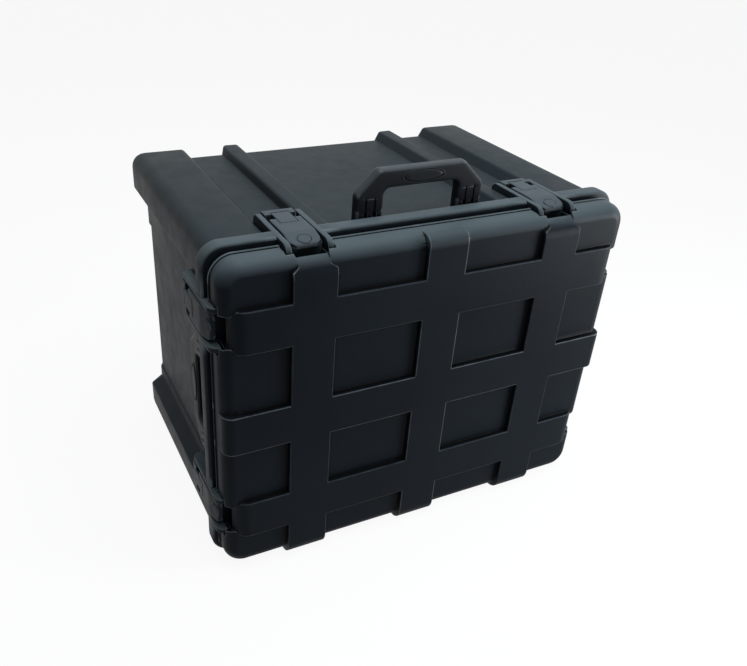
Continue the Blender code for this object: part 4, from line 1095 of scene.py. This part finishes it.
def relief(u, depth, top, bottom, solid):
    """A closed shell between two height maps; cells that are not solid are left out."""
    rows, columns = top.shape
    drop = rows * columns
    number = np.arange(drop).reshape(rows, columns)
    cells = np.pad(solid, 1)
    upper = np.stack([number[:-1, :-1], number[1:, :-1], number[1:, 1:], number[:-1, 1:]], axis=-1)[solid]
    groups = [upper, upper[:, ::-1] + drop]
    starts = ((number[:-1, :-1], number[:-1, 1:]), (number[1:, 1:], number[1:, :-1]))
    starts += ((number[1:, :-1], number[:-1, :-1]), (number[:-1, 1:], number[1:, 1:]))
    beside = (cells[:-2, 1:-1], cells[2:, 1:-1], cells[1:-1, :-2], cells[1:-1, 2:])
    for (first, second), neighbour in zip(starts, beside):
        bare = solid & ~neighbour
        first, second = first[bare], second[bare]
        groups.append(np.stack([first, second, second + drop, first + drop], axis=-1))
    faces = np.concatenate(groups)
    used, faces = np.unique(faces, return_inverse=True)
    points = np.stack([np.concatenate([part.ravel(), part.ravel()]) for part in (u, depth)], axis=-1)
    heights = np.concatenate([top.ravel(), bottom.ravel()])
    return points[used, 0], points[used, 1], heights[used], faces.reshape(-1, 4)


# %% The latch plate
LATCH_HALF = 21.5
LATCH_TOP = 1.5
LATCH_RIM = 2.0
LATCH_STEP = 6.0
ACROSS_STEP = 4.0
STEP_HALF = 0.1
HAIR = 0.01
LATCH_REAR = 133.0
REAR_RUN = 5.0
REAR_ROUND = 4.0
REAR_UNDER_ROUND = 4.8
NOSE_D = 29.0
NOSE_ROUND = 5.0
NOSE_DROP = -4.5
NOSE_BEND = 56.0
NOSE_BLEND = 3.3
NOSE_PLAN = 13.0
LEAST_PLAN = 0.9
HOOK_D = 34.0
HOOK_N = -9.6
LATCH_UNDER = -5.5
BRIDGE_D = 84.0
BARREL_D = np.array([119.8, 123.4])
BARREL_N = (-10.0, -12.0)
NOTCH_D = np.array([101.0, 116.0])
NOTCH_ROUND = 0.8
NOTCH_LINES = np.array([0.0, 0.25, 0.8])
NO_EDGE = 9.0
BRIDGE_HALF = 12.2
POCKET_HALF = 12.5
TRIGGER_D = np.array([85.6, 121.1])
TRIGGER_TOP = 1.9
TRIGGER_UNDER = -4.3
TRIGGER_STEP = 5.0
TRIGGER_RIM = 0.9
TRIGGER_FRONT = 1.0
TRIGGER_HEEL = 2.9
POCKET_GAP = 0.5


def nose_top(depth):
    """Upper line of the latch: level, then a soft bend into the slope of the nose."""
    slope = (LATCH_TOP - NOSE_DROP) / (NOSE_BEND - NOSE_D)
    ahead = np.clip(NOSE_BEND + NOSE_BLEND - depth, 0, 2 * NOSE_BLEND)
    return LATCH_TOP - slope * (ahead**2 / (4 * NOSE_BLEND) + np.maximum(NOSE_BEND - NOSE_BLEND - depth, 0))


def latch_shell():
    """Plan, upper and lower heights of a latch, and the cells that the two notches leave out."""
    rim = LATCH_HALF - LATCH_RIM * np.array([1.0, 0.6, 0.3, 0.12, 0.03, 0.0])
    middle = np.array([0.0, 6.0, BRIDGE_HALF, POCKET_HALF + 0.05, 15.0])
    u_lines = grid_lines(ACROSS_STEP, both_ways(np.concatenate([rim, middle])))
    front = NOSE_D + NOSE_ROUND * (1 - np.cos(np.linspace(0, math.pi / 2, 7)))
    rear = LATCH_REAR - REAR_RUN * (1 - np.cos(np.linspace(0, math.pi / 2, 6)))
    pocket_ends = TRIGGER_D + (-POCKET_GAP, POCKET_GAP)
    steps = np.concatenate([(HOOK_D, BRIDGE_D), pocket_ends])
    steps = np.concatenate([steps - STEP_HALF, steps + STEP_HALF])
    notches = np.concatenate([NOTCH_D[0] - NOTCH_LINES, NOTCH_D[1] + NOTCH_LINES])
    plan = NOSE_D + NOSE_PLAN * np.array([0.1, 0.25, 0.45, 0.7, 1.0])
    bend = NOSE_BEND + NOSE_BLEND * np.array([-1.0, 0.0, 1.0])
    d_lines = grid_lines(LATCH_STEP, front, rear, steps, notches, plan, bend, BARREL_D)
    u, depth = np.meshgrid(u_lines, d_lines, indexing="ij")
    square = np.clip(NOSE_D + NOSE_PLAN - depth, 0, NOSE_PLAN)
    room = np.maximum(np.sqrt(NOSE_PLAN**2 - square**2), LEAST_PLAN)
    start = LATCH_HALF - NOSE_PLAN
    outside = np.maximum(np.abs(u) - start, 0)
    side_edge = (NOSE_PLAN - outside) / NOSE_PLAN * room
    beside = np.abs(u) > BRIDGE_HALF + HAIR
    notch_edge = np.minimum(np.abs(depth - NOTCH_D[0]), np.abs(depth - NOTCH_D[1]))
    notch_edge = np.where(beside, notch_edge, NO_EDGE)
    drops = [rounded(side_edge, LATCH_RIM), rounded(LATCH_REAR - depth, REAR_ROUND)]
    drops += [rounded(depth - NOSE_D, NOSE_ROUND), rounded(notch_edge, NOTCH_ROUND)]
    top = nose_top(depth) - np.maximum.reduce(drops)
    pocket = (np.abs(u) < POCKET_HALF) & (depth > pocket_ends[0]) & (depth < pocket_ends[1])
    top = np.where(pocket, TRIGGER_UNDER - POCKET_GAP, top)
    barrel = np.interp(depth, BARREL_D, BARREL_N)
    bottom = np.select([depth < HOOK_D, depth < BRIDGE_D], [HOOK_N, LATCH_UNDER], barrel)
    bottom = bottom + rounded(LATCH_REAR - depth, REAR_UNDER_ROUND)
    u = np.sign(u) * (np.minimum(np.abs(u), start) + outside / NOSE_PLAN * room)
    mid_u = (u_lines[1:] + u_lines[:-1])[:, None] / 2
    mid_d = (d_lines[1:] + d_lines[:-1])[None] / 2
    gone = (np.abs(mid_u) > BRIDGE_HALF) & (mid_d > NOTCH_D[0]) & (mid_d < NOTCH_D[1])
    return relief(u, depth, top, bottom, ~gone)


# %% The trigger


def trigger_shell():
    """A flush slab with a round heel, filling the latch's pocket."""
    half = POCKET_HALF - POCKET_GAP
    rim = half - TRIGGER_RIM * np.array([1.0, 0.6, 0.3, 0.1, 0.0])
    u_lines = grid_lines(ACROSS_STEP, both_ways(np.concatenate([rim, [0.0]])))
    quarter = 1 - np.cos(np.linspace(0, math.pi / 2, 6))
    front, rear = TRIGGER_D[0] + TRIGGER_FRONT * quarter, TRIGGER_D[1] - TRIGGER_HEEL * quarter
    d_lines = grid_lines(TRIGGER_STEP, front, rear)
    u, depth = np.meshgrid(u_lines, d_lines, indexing="ij")
    edge = rounded(half - np.abs(u), TRIGGER_RIM)
    heel = rounded(TRIGGER_D[1] - depth, TRIGGER_HEEL)
    top = TRIGGER_TOP - np.maximum.reduce([edge, heel, rounded(depth - TRIGGER_D[0], TRIGGER_FRONT)])
    bottom = TRIGGER_UNDER + heel
    return relief(u, depth, top, bottom, np.full((len(u_lines) - 1, len(d_lines) - 1), True))


# %% Plain ovals
OVAL_SIDES = 48
NOSE_OVAL = (10.0, 9.0, 0.8)
NOSE_OVAL_D = 39.5
OVAL_SHARE = np.array([0.35, 0.62, 0.80, 0.84, 0.87, 0.91, 0.935, 0.955, 0.985, 1.0, 1.0])
OVAL_RISE = np.array([1.0, 1.0, 0.94, 0.75, 0.15, 0.15, 0.8, 1.0, 0.8, 0.2, -1.0])


def oval(half_a, half_b, rise):
    """A flat oval pad inside a raised rim: rings of (a, b, height) that shrink to a pole."""
    turn = np.linspace(0, 2 * math.pi, OVAL_SIDES, endpoint=False)
    a = half_a * OVAL_SHARE[:, None] * np.cos(turn)
    b = half_b * OVAL_SHARE[:, None] * np.sin(turn)
    return a, b, np.repeat(rise * OVAL_RISE[:, None], len(turn), axis=1)


latch_u, latch_d, latch_n, latch_faces = latch_shell()
trigger_u, trigger_d, trigger_n, trigger_faces = trigger_shell()
oval_u, oval_d, oval_rise = oval(*NOSE_OVAL)
oval_d = NOSE_OVAL_D + oval_d
oval_n = nose_top(oval_d) + oval_rise
for name, (side, along) in LATCHES.items():
    latch = facing_out(at_side(side, along, latch_u, latch_d, latch_n), [latch_faces])
    badge = tube(at_side(side, along, oval_u, oval_d, oval_n).reshape(*oval_u.shape, 3))
    node = "latch_" + name
    make_piece("latch_plate_" + name, joined([latch, badge]), node, "latch_plastic", LATCH_PLASTIC, [node])
    trigger = facing_out(at_side(side, along, trigger_u, trigger_d, trigger_n), [trigger_faces])
    node = "latch_trigger_" + name
    make_piece("release_trigger_" + name, trigger, "trigger_" + name, "latch_plastic", LATCH_PLASTIC, [node])

# %% [markdown]
# ## Carrying handles
# A handle is one flat bar bent over like a bridge: an inner and an outer line with a rounded section
# carried between them. The feet have two grooves that end above the hinge slots, and below them three
# prongs reach down round the lugs. One handle is worked out and set in place three times.

# %% The arch
HANDLE_REACH = 65.0
HANDLE_GRIP = 25.0
HANDLE_FLAT = 65.0
HANDLE_CHAMFER = 31.0
HANDLE_FRONT = -11.0
HANDLE_REAR = 6.0
HANDLE_ROUND = 4.0
HANDLE_HEEL = -6.0
SLOT_TOP = 10.0
SLOT_HALF = 3.0
BEND_START = 26.0
BEND_ROUND = 6.0
BEND_POINTS = 26
INNER_ROUND = 10.0
BAR_HALF = 46.0
INNER_BAR_HALF = 43.0
BAR_LINES = 9
GROOVE_AT = np.array([-1.3, -0.7, 0.7, 1.3])
GROOVE_DEPTH = 1.2
GROOVE_END = BEND_START + 6.0
GROOVE_RUN = 8.0
PRONG_ROUND = 1.0
PRONG_SOFT = 0.9
PRONG_SHY = 0.02
PRONG_LAP = 4.0
NO_ROUND = 0.01


def bend_points(before, corner, after, radius, steps=8):
    """An arc at a corner between two straight runs."""
    ring = np.array([(*before, NO_ROUND), (*corner, radius), (*after, NO_ROUND)])
    return round_corners(ring, steps)[steps : 2 * steps]


def spread(path, count):
    """A path resampled to evenly spaced points along its length."""
    along = np.append(0, np.cumsum(np.linalg.norm(np.diff(path, axis=0), axis=1)))
    at = np.linspace(0, along[-1], count)
    return np.stack([np.interp(at, along, path[:, column]) for column in range(2)], axis=-1)


def arch_paths():
    """Outer and inner line of the handle (u, h) from one foot to the other, point for point."""
    grip = HANDLE_REACH - HANDLE_GRIP
    start, corner = (HANDLE_HALF, BEND_START), (HANDLE_HALF, HANDLE_REACH - HANDLE_CHAMFER)
    crown, bar_end = (HANDLE_FLAT, HANDLE_REACH), (BAR_HALF, HANDLE_REACH)
    outer_bend = [start, *bend_points(start, corner, crown, BEND_ROUND)]
    outer_bend += [*bend_points(corner, crown, bar_end, BEND_ROUND), bar_end]
    inner_arc = bend_points((FOOT_IN, 0.0), (FOOT_IN, grip), (0.0, grip), INNER_ROUND)
    inner_bend = [(FOOT_IN, BEND_START), *inner_arc, (INNER_BAR_HALF, grip)]
    foot = np.linspace(SLOT_TOP, BEND_START, 5)[:-1]
    bar = np.linspace(1, 0, BAR_LINES)[1:]
    paths = []
    for across, bend in ((HANDLE_HALF, outer_bend), (FOOT_IN, inner_bend)):
        upright = np.stack([np.full(4, across), foot], axis=-1)
        path = np.concatenate([upright, spread(np.array(bend), BEND_POINTS)])
        path = np.concatenate([path, path[-1] * np.stack([bar, np.ones_like(bar)], axis=-1)])
        paths.append(np.concatenate([path, path[-2::-1] * (-1, 1)]))
    return paths


# %% The section of the bar


def arch_section():
    """Round a rounded bar: (share of the width, millimetres added, depth, groove share)."""
    turn = np.linspace(0, math.pi / 2, 6)
    ease = HANDLE_ROUND * (1 - np.cos(turn))
    rise = HANDLE_ROUND * (1 - np.sin(turn))
    third = np.array([1.0, 2.0])[:, None] / 3
    grooves = (third + GROOVE_AT / FOOT_WIDTH).ravel()
    still = np.zeros_like(turn)
    front = np.stack([grooves, np.zeros(8), np.full(8, HANDLE_FRONT), np.tile([0, 1, 1, 0], 2)], -1)
    rear_out = np.stack([still + 1, -ease, HANDLE_REAR - rise, still], -1)
    rear_in = np.stack([still, ease[::-1], HANDLE_REAR - rise[::-1], still], -1)
    front_in = np.stack([still, ease, HANDLE_FRONT + rise, still], -1)
    front_out = np.stack([still + 1, -ease[::-1], HANDLE_FRONT + rise[::-1], still], -1)
    return np.concatenate([front_in, front, front_out, rear_out, rear_in])


def arch_rings():
    """The section carried between the two lines; grooves fade where the foot bends over."""
    outer, inner = arch_paths()
    share, added, depth, groove = arch_section().T
    width = np.linalg.norm(outer - inner, axis=1)
    way = unit(outer - inner)
    reach = width[:, None] * share + added
    flat = inner[:, None] + way[:, None] * reach[..., None]
    sink = GROOVE_DEPTH * np.clip((GROOVE_END - outer[:, 1]) / GROOVE_RUN, 0, 1)
    return flat[..., 0], flat[..., 1], depth + groove * sink[:, None]


# %% Prongs, and the three handles


def prong_rings(low, high, soft_low, soft_high):
    """One prong below the arch: a rounded block in plan, carried down to a soft heel."""
    corners = [(low, HANDLE_FRONT, soft_low), (high, HANDLE_FRONT, soft_high)]
    corners += [(high, HANDLE_REAR, soft_high), (low, HANDLE_REAR, soft_low)]
    outline = moved_points(round_corners(np.array(corners), 6), PRONG_SHY)
    rings, height = plate(outline, HANDLE_HEEL, SLOT_TOP + PRONG_LAP, PRONG_SOFT)
    return rings[..., 0], np.repeat(height[:, None], rings.shape[1], axis=1), rings[..., 1]


def handle_tube(side, u, height, depth):
    """Rings of a handle as a shell in the case: the top handle stands up, the side ones lie back."""
    if side == "top":
        points = at_side(side, 0.0, u, HINGE_D + depth, HINGE_N[side] + height)
    else:
        points = at_side(side, 0.0, u, HINGE_D + height, HINGE_N[side] - depth)
    return tube(points.reshape(*u.shape, 3))


third = FOOT_WIDTH / 3
prongs = [
    (0.0, third - SLOT_HALF, HANDLE_ROUND, PRONG_ROUND),
    (third + SLOT_HALF, 2 * third - SLOT_HALF, PRONG_ROUND, PRONG_ROUND),
    (2 * third + SLOT_HALF, FOOT_WIDTH, PRONG_ROUND, HANDLE_ROUND),
]
handle_parts = [arch_rings()]
for low, high, soft_low, soft_high in prongs:
    u, height, depth = prong_rings(FOOT_IN + low, FOOT_IN + high, soft_low, soft_high)
    handle_parts += [(u, height, depth), (-u, height, depth)]
HANDLE_OVAL = (33.0, 9.5, 1.1)
GRIP_MIDDLE = HANDLE_REACH - HANDLE_GRIP / 2
badge_u, badge_h, badge_rise = oval(*HANDLE_OVAL)
for side in HINGE_N:
    body = "handle_" + side
    handle = joined([handle_tube(side, *part) for part in handle_parts])
    make_piece("carry_handle_" + side, handle, body, "handle_plastic", HANDLE_PLASTIC, [body])
    badge = handle_tube(side, badge_u, GRIP_MIDDLE + badge_h, HANDLE_FRONT - badge_rise)
    make_piece("handle_oval_" + side, badge, body, "handle_plastic", BADGE_PLASTIC)

# %% [markdown]
# ## Pieces that keep their solid shape
# The seal, pins, rails, bars, rubber mounts and bolts are right as they are. They only need a finish,
# so each solid's material slot gets one of the materials above.

# %% Finishes for the solids
SOLID_FINISHES = {
    "lid_gasket": SEAL_RUBBER,
    "latch_pin": PIN_STEEL,
    "handle_pin": PIN_STEEL,
    "rack_rail": RACK_PAINT,
    "frame_side": RACK_PAINT,
    "frame_cross": RACK_PAINT,
    "shock_mount": SEAL_RUBBER,
    "mount_bolt": PIN_STEEL,
}
for node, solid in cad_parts.items():
    for start, material in SOLID_FINISHES.items():
        if node.startswith(start):
            solid.material_slots[0].material = material
print("solids with a finish", sum(node.startswith(tuple(SOLID_FINISHES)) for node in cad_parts))

# %% [markdown]
# ## Floor, light and camera
# The case stands on a pale floor in an even white room. One broad soft lamp hangs above, a little in
# front, so tops are pale. A smaller one stands low at the front right and grazes the lid, and the left
# side stays dark.

# %% Floor and room
FLOOR_HALF = 40.0
FLOOR_SHARE = 0.92
FLOOR_DROP = 0.0003
ROOM_LIGHT = 0.12


def seen_rays(tree):
    """One for rays that show a surface: from the camera, in a reflection or through glass."""
    path = add_node(tree, "LightPath")
    seen = sums(tree, "MAXIMUM", path.outputs["Is Camera Ray"], path.outputs["Is Glossy Ray"])
    return sums(tree, "MAXIMUM", seen, path.outputs["Is Transmission Ray"])


def blend_shaders(tree, share, first, second, output):
    """Two shaders mixed by a share and sent to the tree's output node."""
    blend = add_node(tree, "MixShader")
    for source, socket in zip((share, first.outputs[0], second.outputs[0]), blend.inputs):
        tree.links.new(source, socket)
    tree.links.new(blend.outputs[0], tree.nodes[output].inputs["Surface"])


def pale_floor():
    """A white floor that shows its own light to the camera and still takes the case's shadow."""
    material = bpy.data.materials.new("pale_floor")
    material.use_nodes = True
    tree = material.node_tree
    shader = tree.nodes["Principled BSDF"]
    shader.inputs["Base Color"].default_value = (0.86, 0.86, 0.86, 1)
    shader.inputs["Roughness"].default_value = 0.9
    glow = add_node(tree, "Emission", {"Color": (1, 1, 1, 1), "Strength": 1.0})
    share = sums(tree, "MULTIPLY", seen_rays(tree), FLOOR_SHARE)
    blend_shaders(tree, share, shader, glow, "Material Output")
    return material


floor_mesh = bpy.data.meshes.new("studio_floor")
floor_corners = np.array([(-1, -1, 0), (1, -1, 0), (1, 1, 0), (-1, 1, 0)]) * FLOOR_HALF - (0, 0, FLOOR_DROP)
floor_mesh.from_pydata(floor_corners.tolist(), [], [(0, 1, 2, 3)])
floor_mesh.materials.append(pale_floor())
floor = bpy.data.objects.new("studio_floor", floor_mesh)
bpy.context.scene.collection.objects.link(floor)


def white_room(strength):
    """White to the camera and in reflections, and a plain soft light for everything else."""
    world = bpy.data.worlds.new("white_room")
    bpy.context.scene.world = world
    world.use_nodes = True
    tree = world.node_tree
    soft_light = tree.nodes["Background"]
    soft_light.inputs["Color"].default_value = (0.95, 0.97, 1.0, 1)
    soft_light.inputs["Strength"].default_value = strength
    white = add_node(tree, "Background", {"Color": (1, 1, 1, 1), "Strength": 1.0})
    blend_shaders(tree, seen_rays(tree), soft_light, white, "World Output")


white_room(ROOM_LIGHT)
print("floor", floor.name, "room", bpy.context.scene.world.name)

# %% Lamps


def soft_lamp(name, place, target, size, power, colour=(1, 1, 1)):
    """A square soft box at a place, turned to face a target."""
    data = bpy.data.lights.new(name, "AREA")
    data.size = size
    data.energy = power
    data.color = colour
    lamp = bpy.data.objects.new(name, data)
    bpy.context.scene.collection.objects.link(lamp)
    way = np.array(target) - np.array(place)
    flat = math.hypot(way[0], way[1])
    lamp.location = place
    lamp.rotation_euler = (math.atan2(flat, -way[2]), 0, math.atan2(-way[0], way[1]) if flat > 1e-6 else 0)
    return lamp


CASE_MIDDLE = (0.0, 0.0, 0.25)
soft_lamp("overhead", (0.1, -0.3, 2.1), CASE_MIDDLE, 1.6, 42.0, (0.93, 0.98, 1.0))
soft_lamp("front_right", (1.25, -0.85, 0.35), CASE_MIDDLE, 0.6, 27.0, (0.95, 0.98, 1.0))
print("lamps", [lamp.name for lamp in bpy.data.lights])

# %% Camera
camera_data = bpy.data.cameras.new("photo_camera")
camera_data.lens = 37.3612
camera_data.sensor_width = 36.0
camera_data.sensor_fit = "HORIZONTAL"
camera_data.shift_x = 0.047354
camera_data.shift_y = 0.016608
camera = bpy.data.objects.new("photo_camera", camera_data)
camera.location = (-0.538795, -0.97171, 0.86471)
camera.rotation_euler = [math.radians(angle) for angle in (58.767655, -2.707328, -25.604497)]
bpy.context.scene.collection.objects.link(camera)
bpy.context.scene.camera = camera
bpy.context.scene.view_settings.view_transform = "Standard"
print("camera", camera.name, "lens", camera_data.lens)
